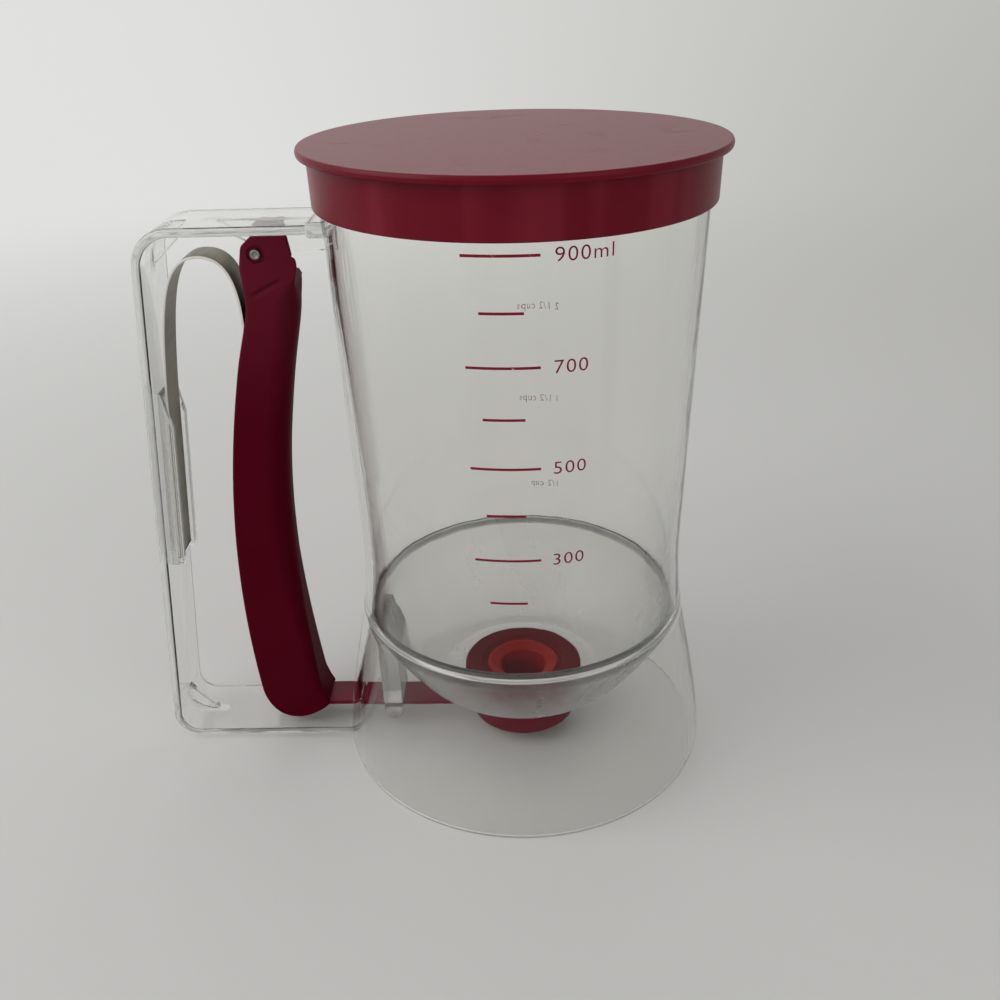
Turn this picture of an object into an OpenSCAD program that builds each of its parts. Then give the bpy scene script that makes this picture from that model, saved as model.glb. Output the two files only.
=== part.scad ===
// Batter dispenser: clear jug on a flared skirt, funnel bottom with a slide valve,
// loop handle with a sprung trigger, and a push-on lid.
// Origin: centre of the foot ring on the jug's axis. The handle points along -X.

/* [Jug] */
// Outer radius of the barrel at its rim
barrel_rim_r = 51.7; // [49:0.1:56]
// Outer radius of the barrel at its waist
barrel_waist_r = 48.4; // [46:0.1:49.5]
// Height of the barrel's rim above the table
rim_z = 185; // [178:1:210]
// Height of the waist, where the barrel is narrowest
waist_z = 73; // [66:1:90]
// Wall thickness of the barrel
barrel_wall = 2.2; // [1.6:0.1:2.6]

/* [Base] */
// Height of the seam between skirt and barrel
seam_z = 50; // [48:0.5:54]
// Outer radius of the jug at the seam
seam_r = 49.8; // [49:0.1:51]
// How far the seam bead stands proud
bead_proud = 0.5; // [0.2:0.1:0.8]
// Height of the seam bead
bead_h = 1.2; // [0.8:0.1:2]
// Outer radius of the foot ring
foot_r = 57.9; // [55:0.1:64]
// Height of the straight foot ring
foot_h = 2; // [1.5:0.1:3]
// Wall thickness of the skirt
skirt_wall = 2.2; // [1.8:0.1:2.8]

/* [Funnel] */
// Wall thickness of the funnel
funnel_wall = 2; // [1.4:0.1:2.6]
// Thickness of the rim that seats the funnel in the jug
funnel_rim_t = 3; // [2:0.1:4]
// Width of the lip round the funnel's top, outside its wall
funnel_lip_w = 1.2; // [0.8:0.1:2]
// Height of the funnel's flat floor, upper face
floor_z = 21.5; // [20:0.5:24]
// Radius of the funnel's flat floor
floor_r = 25; // [22:0.5:30]

/* [Valve] */
// Radius of the valve seat's flange
flange_r = 19; // [16:0.5:21]
// Thickness of the flange
flange_t = 1.5; // [1:0.1:2.5]
// Outer radius of the valve seat's neck
neck_r = 13.9; // [13.2:0.1:15]
// Height of the neck's lower end
neck_bottom_z = 11; // [10.8:0.1:12]
// Radius of the batter's way through the seal
throat_r = 6.8; // [5:0.1:7.5]
// Outer radius of the seal ring
seal_r = 11.6; // [10.5:0.1:12]
// Outer radius of the seal's lower lip
seal_lip_r = 8.1; // [7.9:0.1:9]
// Outer radius of the nozzle housing
housing_r = 16.8; // [15.5:0.1:18.5]
// Height of the housing's lower end above the table
housing_bottom_z = 4.5; // [3:0.1:5.5]
// Height of the chamfer round the housing's lower end
housing_chamfer = 1; // [0.5:0.1:2]

/* [Slide] */
// Width of the slide bar
bar_w = 10.8; // [8:0.1:11]
// Thickness of the slide bar and its gate
bar_t = 1.4; // [1:0.1:1.6]
// Height of the slide bar's underside
bar_z = 8.7; // [8.2:0.1:8.8]
// Width of the gate
gate_w = 20; // [18:0.5:21]
// How far the gate reaches past the jug's axis when shut
gate_reach = 9.3; // [9:0.1:9.6]
// Length of the gate's wide part on the handle's side of the axis
gate_tail = 12; // [10:0.5:14]
// Radius of the gate's front corners
gate_corner = 4; // [2:0.5:6]
// Travel of the slide from shut to open
slide_travel = 17; // [16.5:0.1:17.4]
// Width of the upright ear at the bar's end
ear_w = 4; // [3:0.1:5]
// Width of material round the ear's slot
ear_rim = 1.5; // [1:0.1:2]

/* [Slide guide] */
// Width of the lug along the bar
lug_w = 6; // [4:0.5:8]
// Breadth of the lug across the bar
lug_breadth = 16; // [14.5:0.5:20]
// Distance of the lug's centre inside the seam's radius
lug_inset = 6.8; // [6.3:0.1:8.5]
// Height of the lug's rounded lower end
lug_bottom_z = 5; // [4:0.5:5.5]

/* [Handle] */
// Width of the handle band
band_w = 24.3; // [20:0.1:28]
// Thickness of the handle band
band_t = 2.3; // [2:0.1:3]
// Drop of the top arm's upper face below the barrel's rim
arm_drop = 16.7; // [15.7:0.1:17.2]
// Height of the bottom arm's underside
arm_bottom_z = 1.8; // [1.2:0.1:2.1]
// Reach of the post's outer face at the level of the pivot
post_top_reach = 101.2; // [100:0.1:106]
// Reach of the post's outer face where it meets the bottom corner
post_foot_reach = 115; // [113:0.1:120]
// Outer radius of the handle's top corner
top_corner_r = 8.8; // [6:0.1:10]
// Outer radius of the handle's bottom corner
foot_corner_r = 8; // [6:0.1:12]
// Thickness of the ribs in the handle's corners
rib_t = 2.4; // [1.6:0.1:4]
// Length of each corner rib's legs
rib_leg = 11; // [8:0.5:14]
// How far the pad on the top arm stands out from the barrel's rim
pad_out = 2.7; // [2.5:0.1:3.8]
// Height of the pad that joins the top arm to the barrel
pad_h = 9.5; // [8:0.1:11]

/* [Pivot] */
// Distance of the trigger's pivot from the jug's axis
pivot_reach = 69.2; // [68.5:0.1:70]
// Drop of the trigger's pivot below the top arm's upper face
pivot_drop = 8.3; // [8:0.1:8.7]
// Radius of the pivot pin
pin_r = 1.5; // [1.2:0.05:1.8]
// Radial running clearance of the trigger on its pin
pin_fit = 0.05; // [0.03:0.01:0.09]
// How far the pin's ends stand proud of the trigger
pin_proud = 0.4; // [0:0.1:0.8]
// Thickness of the tongue that carries the pin
tongue_t = 3; // [2:0.1:5]
// Radius of the tongue's boss round the pin
boss_r = 4; // [3:0.1:4.2]
// Depth of the tongue below the top arm
tongue_drop = 6.6; // [5:0.1:7]

/* [Trigger] */
// Width of the trigger
trigger_w = 14.4; // [13.8:0.1:17]
// Wall thickness of the trigger
trigger_wall = 1.4; // [1.1:0.1:1.5]
// Thickness of the trigger's front wall
front_wall = 1.6; // [1.2:0.1:2]
// Height of the trigger's lowest edge above the table
trigger_low_z = 4.8; // [4.6:0.1:5.2]
// Radius of the trigger's head round the pin
head_r = 4.8; // [4.2:0.1:5]
// Length of the head in front of the pin
head_front = 9; // [7:0.1:10]
// Depth below the pivot at which the front wall starts
wall_start = 3; // [2.8:0.1:4]
// Forward reach of the toe where the slide bar leaves the trigger
toe_front = 6; // [5:0.1:7]
// Distance of the heel, where the back edge turns under, behind the pivot
heel_back = 15.8; // [15:0.1:16.5]
// Height of the heel above the trigger's lowest edge
heel_rise = 11; // [9:0.5:13]
// Distance of the front wall's lower end ahead of the pivot
shin_front = 1; // [0:0.1:1.5]
// Height of the front wall's lower end above the trigger's lowest edge
shin_rise = 12.5; // [11.5:0.5:14]

/* [Link] */
// Radius of the link pin
link_r = 1.25; // [1:0.05:1.5]
// Reach of the link pin from the jug's axis with the valve shut
link_reach = 75.5; // [74.5:0.1:76.5]
// Height of the link pin with the valve shut
link_z = 12.9; // [12.6:0.1:13.4]

/* [Spring] */
// Width of the leaf spring
leaf_w = 11; // [8:0.1:11.1]
// Thickness of the leaf spring
leaf_t = 0.8; // [0.5:0.1:1]
// Height of the leaf's lower end
leaf_foot_z = 67; // [60:1:75]
// Drop of the top of the leaf's arch below the pivot
leaf_arch_drop = 0.5; // [-1:0.1:2]
// Distance from the pivot back to the top of the arch
leaf_arch_back = 16.3; // [15.5:0.1:17.5]
// Gap between the leaf and the post
leaf_gap = 1.85; // [1.4:0.05:2.2]
// Height of the upper end of the spring pocket
pocket_top_z = 121; // [110:1:125]
// Wall thickness of the spring pocket's rails
rail_t = 1.8; // [1.2:0.1:2.5]
// How far the rails' lips reach over the leaf
lip_w = 1.2; // [0.8:0.1:2]
// Thickness of the rails' lips
lip_t = 0.8; // [0.6:0.1:1.2]

/* [Lid] */
// Radius of the lid's disc
lid_r = 56.1; // [55:0.1:60]
// Thickness of the lid's disc
lid_t = 2.2; // [1.6:0.1:3]
// Depth of the lid's skirt below the disc
lid_skirt_h = 12.8; // [10:0.1:13]
// Thickness of the lid's skirt
lid_skirt_t = 1.55; // [1.2:0.05:2]
// Radius of the rounded edge of the disc
lid_edge_r = 0.9; // [0.4:0.1:1]
// Draft of the skirt's outside from top to bottom
lid_draft = 0.3; // [0:0.05:0.5]

/* [Fits] */
// Clearance between pieces that only stand next to each other
loose_fit = 0.3; // [0.2:0.05:0.4]
// Joint gap between pieces of the jug that are joined for good
joint_gap = 0.05; // [0.02:0.01:0.1]

/* [Hidden] */

round_fn = 128;    // facets of the big round shells, where a facet is drawn at all
small_fn = 48;     // facets of pins and bores
curve_steps = 14;  // steps along each drawn curve
corner_steps = 8;  // steps round each rounded corner
big = 400;         // longer than the whole part, for cutting tools

arm_top_z = rim_z - arm_drop;
pivot_z = arm_top_z - pivot_drop;
pivot = [-pivot_reach, pivot_z];
trigger_drop = pivot_z - trigger_low_z;
pad_reach = barrel_rim_r + pad_out;
lug_reach = seam_r - lug_inset;
floor_under_z = floor_z - funnel_wall;
bar_top_z = bar_z + bar_t;
channel_z = [bar_z - loose_fit, bar_top_z + loose_fit];
cheek_in = trigger_w / 2 - trigger_wall;
arm_floor_z = arm_bottom_z + band_t;
arm_under_z = arm_top_z - band_t;

// ---- functions ----

// Point of a cubic curve with control points p at t
function bez(p, t) = pow(1 - t, 3) * p[0] + 3 * pow(1 - t, 2) * t * p[1]
                   + 3 * (1 - t) * t * t * p[2] + pow(t, 3) * p[3];
function curve(p, n = curve_steps) = [for (i = [0:n]) bez(p, i / n)];
function unit(v) = v / norm(v);
function left_of(v) = [-v[1], v[0]];
function flip(pts) = [for (i = [len(pts) - 1:-1:0]) pts[i]];

// Direction of a polyline at its point i
function heading(pts, i) = unit(pts[min(i + 1, len(pts) - 1)] - pts[max(i - 1, 0)]);
// A polyline moved sideways by d, to its left
function beside(pts, d) = [for (i = [0:len(pts) - 1]) pts[i] + d * left_of(heading(pts, i))];

// Arc that rounds the corner at v between the lines to a and to b
function rounded(a, v, b, r) =
    let (ua = unit(a - v), ub = unit(b - v), half = acos(ua * ub) / 2,
         c = v + unit(ua + ub) * r / sin(half),
         from = v + ua * r / tan(half) - c, to = v + ub * r / tan(half) - c,
         start = atan2(from[1], from[0]), turn = atan2(to[1], to[0]) - start,
         sweep = turn > 180 ? turn - 360 : turn < -180 ? turn + 360 : turn)
    [for (i = [0:corner_steps])
        let (w = start + sweep * i / corner_steps) c + r * [cos(w), sin(w)]];
// Arc round c between two angles
function arc(c, r, from, to) =
    [for (i = [0:corner_steps])
        let (w = from + (to - from) * i / corner_steps) c + r * [cos(w), sin(w)]];

// ---- the jug's outline, as radius and height ----

flare = seam_r - barrel_waist_r;
function flare_r(z) = barrel_waist_r + flare * pow((waist_z - z) / (waist_z - seam_z), 2);
flare_outer = [for (i = [0:8]) let (z = seam_z + (waist_z - seam_z) * i / 8) [flare_r(z), z]];
barrel_outer = concat(flare_outer, [[barrel_rim_r, rim_z]]);
skirt_rise = seam_z - foot_h;
skirt_spread = foot_r - seam_r;
skirt_curve = curve([[seam_r, seam_z],
                     [seam_r + skirt_spread * 0.31, seam_z - skirt_rise * 0.31],
                     [foot_r - skirt_spread * 0.12, foot_h + skirt_rise * 0.31],
                     [foot_r, foot_h]]);
skirt_outer = concat(skirt_curve, [[foot_r, 0]]);
// Outer radius of the barrel at a height above the waist
function barrel_r(z) = barrel_waist_r
    + (barrel_rim_r - barrel_waist_r) * (z - waist_z) / (rim_z - waist_z);

// Everything inside the jug's outside, grown by g
module jug_envelope(g) {
    rotate_extrude($fn = round_fn)
        polygon(concat([[0, 0]], [for (p = flip(skirt_outer)) p + [g, 0]],
                       [for (p = barrel_outer) p + [g, 0]], [[0, rim_z]]));
}

module measuring_barrel() {
    color([0.9, 0.91, 0.9, 0.35])
    rotate_extrude($fn = round_fn)
        polygon(concat([for (p = barrel_outer) if (p[1] > seam_z) p],
                       [for (p = flip(barrel_outer)) if (p[1] > seam_z) p - [barrel_wall, 0]],
                       [[seam_r - barrel_wall, seam_z + joint_gap],
                        [seam_r + bead_proud, seam_z + joint_gap],
                        [seam_r + bead_proud, seam_z + bead_h / 2]]));
}

shelf_z = seam_z - funnel_rim_t / 2;
funnel_rim_r = min(seam_r - barrel_wall, flare_r(shelf_z + funnel_rim_t) - barrel_wall)
             - joint_gap;

ledge_t = 1;    // thickness of the skirt's ledge under the funnel's lip

module base_skirt() {
    inner = [for (p = skirt_outer) p - [skirt_wall, 0]];
    slot_w = bar_w + 4 * loose_fit;
    color([0.9, 0.91, 0.9, 0.35])
    difference() {
        rotate_extrude($fn = round_fn)
            polygon(concat(
                [[seam_r + bead_proud, seam_z - bead_h / 2], [seam_r + bead_proud, seam_z],
                 [funnel_rim_r + joint_gap, seam_z], [funnel_rim_r + joint_gap, shelf_z]],
                [[bowl_r + funnel_wall + 2 * joint_gap, shelf_z],
                 [bowl_r + funnel_wall + 2 * joint_gap, shelf_z - ledge_t]],
                [for (p = inner) if (p[1] < shelf_z - 2 * ledge_t) p],
                [for (p = flip(skirt_outer)) if (p[1] < seam_z - bead_h / 2) p]));
        // slot that the slide bar runs through
        translate([-big, -slot_w / 2, channel_z[0] - loose_fit])
            cube([big, slot_w, bar_t + 4 * loose_fit]);
    }
}

// ---- funnel and valve ----

bowl_r = funnel_rim_r - funnel_lip_w - funnel_wall;
bowl_top_z = shelf_z + joint_gap;
bowl_drop = bowl_top_z - floor_under_z;
bowl_spread = bowl_r + funnel_wall - floor_r;
bowl_outer = curve([[bowl_r + funnel_wall, bowl_top_z],
                    [bowl_r + funnel_wall - bowl_spread * 0.05, bowl_top_z - bowl_drop * 0.36],
                    [floor_r + bowl_spread * 0.39, floor_under_z + bowl_drop * 0.09],
                    [floor_r, floor_under_z]]);
bowl_inner = curve([[bowl_r, bowl_top_z + funnel_rim_t],
                    [bowl_r - bowl_spread * 0.05, bowl_top_z - bowl_drop * 0.3],
                    [floor_r - funnel_wall / 2 + bowl_spread * 0.39, floor_z + bowl_drop * 0.09],
                    [floor_r - funnel_wall / 2, floor_z]]);

module funnel_bowl() {
    hole_r = neck_r + loose_fit;
    color([0.88, 0.9, 0.9, 0.4])
    rotate_extrude($fn = round_fn)
        polygon(concat([[funnel_rim_r, bowl_top_z], [funnel_rim_r, bowl_top_z + funnel_rim_t]],
                       bowl_inner, [[hole_r, floor_z], [hole_r, floor_under_z]],
                       flip(bowl_outer)));
}

flange_z = floor_z + joint_gap;
flange_top_z = flange_z + flange_t;
seat_ledge_z = neck_bottom_z + flange_t;
lip_hole_r = seal_lip_r + joint_gap;

module valve_seat() {
    pocket_r = seal_r + joint_gap;
    color([0.45, 0.02, 0.08])
    rotate_extrude($fn = round_fn)
        polygon([[neck_r, neck_bottom_z], [neck_r, flange_z], [flange_r, flange_z],
                 [flange_r, flange_top_z - flange_t / 2], [flange_r - flange_t / 2, flange_top_z],
                 [pocket_r, flange_top_z], [pocket_r, seat_ledge_z],
                 [lip_hole_r, seat_ledge_z], [lip_hole_r, neck_bottom_z]]);
}

seal_mouth_r = (throat_r + seal_r) / 2;

module seal_ring() {
    seal_bottom_z = bar_top_z + loose_fit / 2;
    color([0.85, 0.16, 0.05])
    rotate_extrude($fn = round_fn)
        polygon([[throat_r, seal_bottom_z], [seal_lip_r, seal_bottom_z],
                 [seal_lip_r, seat_ledge_z + joint_gap], [seal_r, seat_ledge_z + joint_gap],
                 [seal_r, flange_top_z - 0.2], [seal_mouth_r, flange_top_z - 0.2],
                 [throat_r, flange_top_z - 0.2 - (seal_mouth_r - throat_r)]]);
}

module nozzle_housing() {
    neck_bore_r = neck_r + loose_fit / 2;
    outlet_r = throat_r + 2 * loose_fit;
    top_z = floor_under_z - joint_gap;
    color([0.55, 0.03, 0.1])
    difference() {
        rotate_extrude($fn = round_fn)
            polygon([[outlet_r, housing_bottom_z],
                     [housing_r - housing_chamfer, housing_bottom_z],
                     [housing_r, housing_bottom_z + housing_chamfer], [housing_r, top_z],
                     [neck_bore_r, top_z], [neck_bore_r, neck_bottom_z - joint_gap],
                     [seal_lip_r + loose_fit / 2, neck_bottom_z - joint_gap],
                     [seal_lip_r + loose_fit / 2, channel_z[1]], [outlet_r, channel_z[1]]]);
        // channel that the gate slides in, open towards the handle
        translate([-big, -gate_w / 2 - loose_fit, channel_z[0]])
            cube([big + gate_reach + loose_fit, gate_w + 2 * loose_fit,
                  channel_z[1] - channel_z[0]]);
    }
}

// ---- slide valve and its guide ----

swing_r = norm([link_reach - pivot_reach, pivot_z - link_z]);
rest_lean = asin((link_reach - pivot_reach) / swing_r);
open_lean = asin((link_reach - pivot_reach + slide_travel) / swing_r);
link_rise = swing_r * (cos(rest_lean) - cos(open_lean));
slot_r = link_r + loose_fit;

module slide_valve() {
    ear_top = link_z + link_rise + slot_r + ear_rim;
    ear_half = slot_r + ear_rim;
    color([0.62, 0.04, 0.14]) {
        difference() {
            union() {
                translate([-link_reach - ear_half, -bar_w / 2, bar_z])
                    cube([link_reach + ear_half - gate_tail + gate_corner, bar_w, bar_t]);
                // gate with rounded corners
                translate([0, 0, bar_z]) linear_extrude(bar_t)
                    polygon(concat([[-gate_tail, -gate_w / 2]],
                        rounded([-gate_tail, -gate_w / 2], [gate_reach, -gate_w / 2],
                                [gate_reach, gate_w / 2], gate_corner),
                        rounded([gate_reach, -gate_w / 2], [gate_reach, gate_w / 2],
                                [-gate_tail, gate_w / 2], gate_corner),
                        [[-gate_tail, gate_w / 2]]));
                // upright ear that the link pin works in
                translate([-link_reach - ear_half, -ear_w / 2, bar_z])
                    cube([2 * ear_half, ear_w, ear_top - bar_z]);
            }
            // upright slot for the link pin
            for (z = [link_z - loose_fit, link_z + link_rise + loose_fit])
                translate([-link_reach, 0, z]) rotate([90, 0, 0])
                    cylinder(r = slot_r, h = 2 * ear_w, center = true, $fn = small_fn);
            translate([-link_reach - slot_r, -ear_w, link_z - loose_fit])
                cube([2 * slot_r, 2 * ear_w, link_rise + 2 * loose_fit]);
        }
    }
}

module slide_guide() {
    half = lug_w / 2;
    lug_top_z = shelf_z - 5 * ledge_t;
    slot_w = bar_w + 2 * loose_fit;
    color([0.9, 0.91, 0.9, 0.35])
    difference() {
        translate([-lug_reach, lug_breadth / 2, 0]) rotate([90, 0, 0])
            linear_extrude(lug_breadth)
                polygon(concat([[half, lug_top_z], [-half, lug_top_z]],
                    rounded([-half, lug_top_z], [-half, lug_bottom_z], [half, lug_bottom_z],
                            half - 0.2),
                    rounded([-half, lug_bottom_z], [half, lug_bottom_z], [half, lug_top_z],
                            half - 0.2)));
        // the funnel's own outside, which the lug is joined to
        rotate_extrude($fn = round_fn)
            polygon(concat([[0, floor_under_z]],
                           [for (p = flip(bowl_outer)) p + [joint_gap, 0]],
                           [[bowl_r + funnel_wall + joint_gap, seam_z], [0, seam_z]]));
        // slot that the bar runs through
        translate([-lug_reach - lug_w, -slot_w / 2, channel_z[0]])
            cube([2 * lug_w, slot_w, channel_z[1] - channel_z[0]]);
    }
}

// ---- handle ----

// Reach of the post's outer face at a height
post_slope = (post_foot_reach - post_top_reach) / (pivot_z - arm_bottom_z - foot_corner_r);
function post_x(z) = -post_top_reach - (pivot_z - z) * post_slope;

// Centre-plane outline of the band's outside, set in by d
function band_side(d) =
    let (lean = atan(post_slope), side = d / cos(lean),
         zt = arm_top_z - d, zb = arm_bottom_z + d,
         top = [post_x(zt) + side, zt], foot = [post_x(zb) + side, zb])
    concat([[0, zt]], rounded([0, zt], top, foot, top_corner_r - d),
           rounded(top, foot, [0, zb], foot_corner_r - d), [[0, zb]]);

module side_plate(width) {
    rotate([90, 0, 0]) linear_extrude(width, center = true) children();
}

// Triangular rib that fills the inner corner at v, between a and b
module corner_rib(a, v, b) {
    side_plate(rib_t)
        polygon([v, v + rib_leg * unit(a - v), v + rib_leg * unit(b - v)]);
}

module handle_frame() {
    inner_top = [post_x(arm_under_z) + band_t, arm_under_z];
    inner_foot = [post_x(arm_floor_z) + band_t, arm_floor_z];
    pad_z = arm_top_z + 1 - pad_h;
    color([0.9, 0.91, 0.9, 0.35])
    difference() {
        union() {
            side_plate(band_w)
                polygon(concat(band_side(0), flip(band_side(band_t))));
            corner_rib(inner_foot, inner_top, [0, arm_under_z]);
            corner_rib(inner_top, inner_foot, [0, arm_floor_z]);
            // pad on the barrel under the lid
            translate([-pad_reach, -band_w / 2, pad_z]) cube([pad_reach, band_w, pad_h]);
        }
        jug_envelope(joint_gap);
        // room for the tongue below the top arm
        translate([-pad_reach - 1, -tongue_t / 2 - joint_gap, pad_z - 1])
            cube([pad_reach, tongue_t + 2 * joint_gap, arm_under_z - pad_z + 1]);
    }
}

module pivot_tongue() {
    under_z = arm_under_z - joint_gap;
    low_z = arm_under_z - tongue_drop;
    nose = pivot + boss_r * [cos(150), sin(150)];
    color([0.9, 0.91, 0.9, 0.35])
    difference() {
        union() {
            side_plate(tongue_t)
                polygon([[0, under_z], [pivot[0] - 2.25 * head_r, under_z], nose, pivot,
                         [pivot[0], low_z], [0, low_z]]);
            translate([pivot[0], 0, pivot[1]]) rotate([90, 0, 0])
                cylinder(r = boss_r, h = tongue_t, center = true, $fn = small_fn);
        }
        jug_envelope(joint_gap);
        translate([pivot[0], 0, pivot[1]]) rotate([90, 0, 0])
            cylinder(r = pin_r + 0.02, h = 2 * tongue_t, center = true, $fn = small_fn);
    }
}

module pivot_pin() {
    half = trigger_w / 2 + pin_proud;
    dome = 0.4;
    color([0.75, 0.75, 0.74])
    translate([pivot[0], 0, pivot[1]]) rotate([90, 0, 0])
        rotate_extrude($fn = small_fn)
            polygon([[0, -half], [pin_r - dome, -half], [pin_r, dome - half],
                     [pin_r, half - dome], [pin_r - dome, half], [0, half]]);
}

// ---- leaf spring and its pocket ----

// Middle line of the leaf: up beside the post, over the arch and down into the trigger
leaf_side = band_t + leaf_gap + leaf_t / 2;
leaf_foot = [post_x(leaf_foot_z) + leaf_side, leaf_foot_z];
leaf_bend = [post_x(pocket_top_z) + leaf_side, pocket_top_z];
leaf_apex = pivot - [leaf_arch_back, leaf_arch_drop + leaf_t / 2];
leaf_drop = pivot - trigger_drop * [0.0406, 0.1224];    // where it goes into the trigger
leaf_tip = pivot - trigger_drop * [0.0077, 0.3093];     // its hidden end in the trigger
leaf_rise = leaf_apex[1] - leaf_bend[1];
leaf_fall = leaf_drop[1] - leaf_tip[1];
leaf_line = concat(
    [leaf_foot],
    curve([leaf_bend, leaf_bend + leaf_rise * [0.074, 0.632],
           leaf_apex - leaf_rise * [0.263, 0], leaf_apex]),
    [for (p = curve([leaf_apex, leaf_apex + leaf_rise * [0.197, 0],
                     leaf_drop + leaf_fall * [-0.003, 0.38], leaf_drop]))
        if (p != leaf_apex) p],
    [for (p = curve([leaf_drop, leaf_drop - leaf_fall * [-0.003, 0.31],
                     leaf_tip + leaf_fall * [-0.079, 0.345], leaf_tip]))
        if (p != leaf_drop) p]);

module leaf_spring() {
    color([0.7, 0.68, 0.64])
    side_plate(leaf_w)
        polygon(concat(beside(leaf_line, leaf_t / 2), flip(beside(leaf_line, -leaf_t / 2))));
}

module spring_pocket() {
    seat = band_t + joint_gap;                        // against the post's inner face
    depth = leaf_gap + leaf_t + loose_fit + lip_t;    // reach of the rails from the post
    foot_z = leaf_foot_z - loose_fit - rail_t;
    inside = leaf_w / 2 + loose_fit;
    // plate between two distances from the post's outer face
    module slab(near, far, width, z0, z1)
        side_plate(width)
            polygon([[post_x(z0) + near, z0], [post_x(z1) + near, z1],
                     [post_x(z1) + far, z1], [post_x(z0) + far, z0]]);
    color([0.9, 0.91, 0.9, 0.35])
    difference() {
        slab(seat, seat + depth, 2 * (inside + rail_t), foot_z, pocket_top_z);
        // room for the leaf between the rails
        slab(seat + leaf_gap - loose_fit - joint_gap, seat + depth - lip_t,
             2 * inside, foot_z + rail_t, pocket_top_z + big);
        // open front between the lips
        slab(seat + depth / 2, seat + 2 * depth, 2 * (inside - lip_w),
             foot_z - big, pocket_top_z + big);
    }
}

// ---- trigger ----

heel = [pivot[0] - heel_back, trigger_low_z + heel_rise];
shin = [pivot[0] + shin_front, trigger_low_z + shin_rise];
toe = [pivot[0] + toe_front, bar_top_z + trigger_wall];
trigger_back = curve([pivot - head_r * [1, 0.42], pivot + trigger_drop * [0.0148, -0.0773],
                      pivot - trigger_drop * [0.1579, 0.3582], heel]);
trigger_front = curve([pivot + [head_front - front_wall, -wall_start],
                       pivot + trigger_drop * [0.0934, -0.1695],
                       pivot - trigger_drop * [0.0664, 0.2365], shin]);
// Curve under the trigger's lower end, from the heel to the toe
trigger_sole = curve([heel, [pivot[0] - heel_back * 0.79, trigger_low_z - heel_rise * 0.109],
                      [pivot[0] - heel_back * 0.253, trigger_low_z - heel_rise * 0.109],
                      [toe[0], bar_z + bar_t * 0.93]]);

module trigger_lever() {
    wall_top = pivot + [0, -wall_start];
    cavity_front = beside(trigger_front, -front_wall);
    slot_top_z = bar_top_z + 3 * loose_fit;
    inner_toe_x = pivot[0] - front_wall;
    inner_heel = [pivot[0] - heel_back * 0.76, trigger_low_z + front_wall];
    color([0.5, 0.02, 0.12])
    difference() {
        side_plate(trigger_w)
            polygon(concat(arc(pivot, head_r, 90, 180), trigger_back, trigger_sole, [toe],
                           flip(trigger_front),
                           [pivot + [head_front, -wall_start],
                            pivot + [head_front, head_r / 2],
                            pivot + [head_front - head_r / 5, head_r]]));
        // channel open towards the post
        side_plate(2 * cheek_in)
            polygon(concat([[cavity_front[0][0], wall_top[1]]], cavity_front,
                           [[inner_toe_x, slot_top_z + 1.5 * front_wall],
                            [inner_toe_x, slot_top_z - 2 * loose_fit],
                            [pivot[0] - 3 * front_wall, inner_heel[1]], inner_heel,
                            inner_heel + big * [-1, 0.3], [pivot[0] - big, wall_top[1]]]));
        // open head that straddles the tongue
        translate([pivot[0] - big / 2, -cheek_in, wall_top[1] - 0.01])
            cube([big, 2 * cheek_in, big]);
        // way out for the slide bar
        translate([pivot[0] - heel_back / 2, -cheek_in, trigger_low_z - heel_rise])
            cube([big, 2 * cheek_in, slot_top_z - trigger_low_z + heel_rise]);
        // bores for the two pins
        translate([pivot[0], 0, pivot[1]]) rotate([90, 0, 0])
            cylinder(r = pin_r + pin_fit, h = 2 * trigger_w, center = true, $fn = small_fn);
        translate([-link_reach, 0, link_z]) rotate([90, 0, 0])
            cylinder(r = link_r + 0.02, h = trigger_w - trigger_wall, center = true,
                     $fn = small_fn);
    }
}

module link_pin() {
    color([0.75, 0.75, 0.74])
    translate([-link_reach, 0, link_z]) rotate([90, 0, 0])
        cylinder(r = link_r, h = trigger_w - trigger_wall - 2 * joint_gap, center = true,
                 $fn = small_fn);
}

// ---- lid ----

module lid_cap() {
    under_z = rim_z + loose_fit / 2;
    top_z = under_z + lid_t;
    bottom_z = under_z - lid_skirt_h;
    in_r = barrel_rim_r + loose_fit;
    out_r = in_r + lid_skirt_t;
    e = lid_edge_r;
    color([0.5, 0.03, 0.13])
    rotate_extrude($fn = round_fn)
        polygon(concat([[0, under_z], [in_r, under_z], [in_r, bottom_z],
                        [out_r - lid_draft - 0.3, bottom_z], [out_r - lid_draft, bottom_z + 0.3],
                        [out_r, top_z - 2 * e]],
                       arc([lid_r - e, top_z - e], e, -90, 90), [[0, top_z]]));
}

measuring_barrel();
base_skirt();
funnel_bowl();
handle_frame();
pivot_tongue();
spring_pocket();
slide_guide();
valve_seat();
seal_ring();
nozzle_housing();
pivot_pin();
leaf_spring();
trigger_lever();
link_pin();
slide_valve();
lid_cap();
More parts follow.
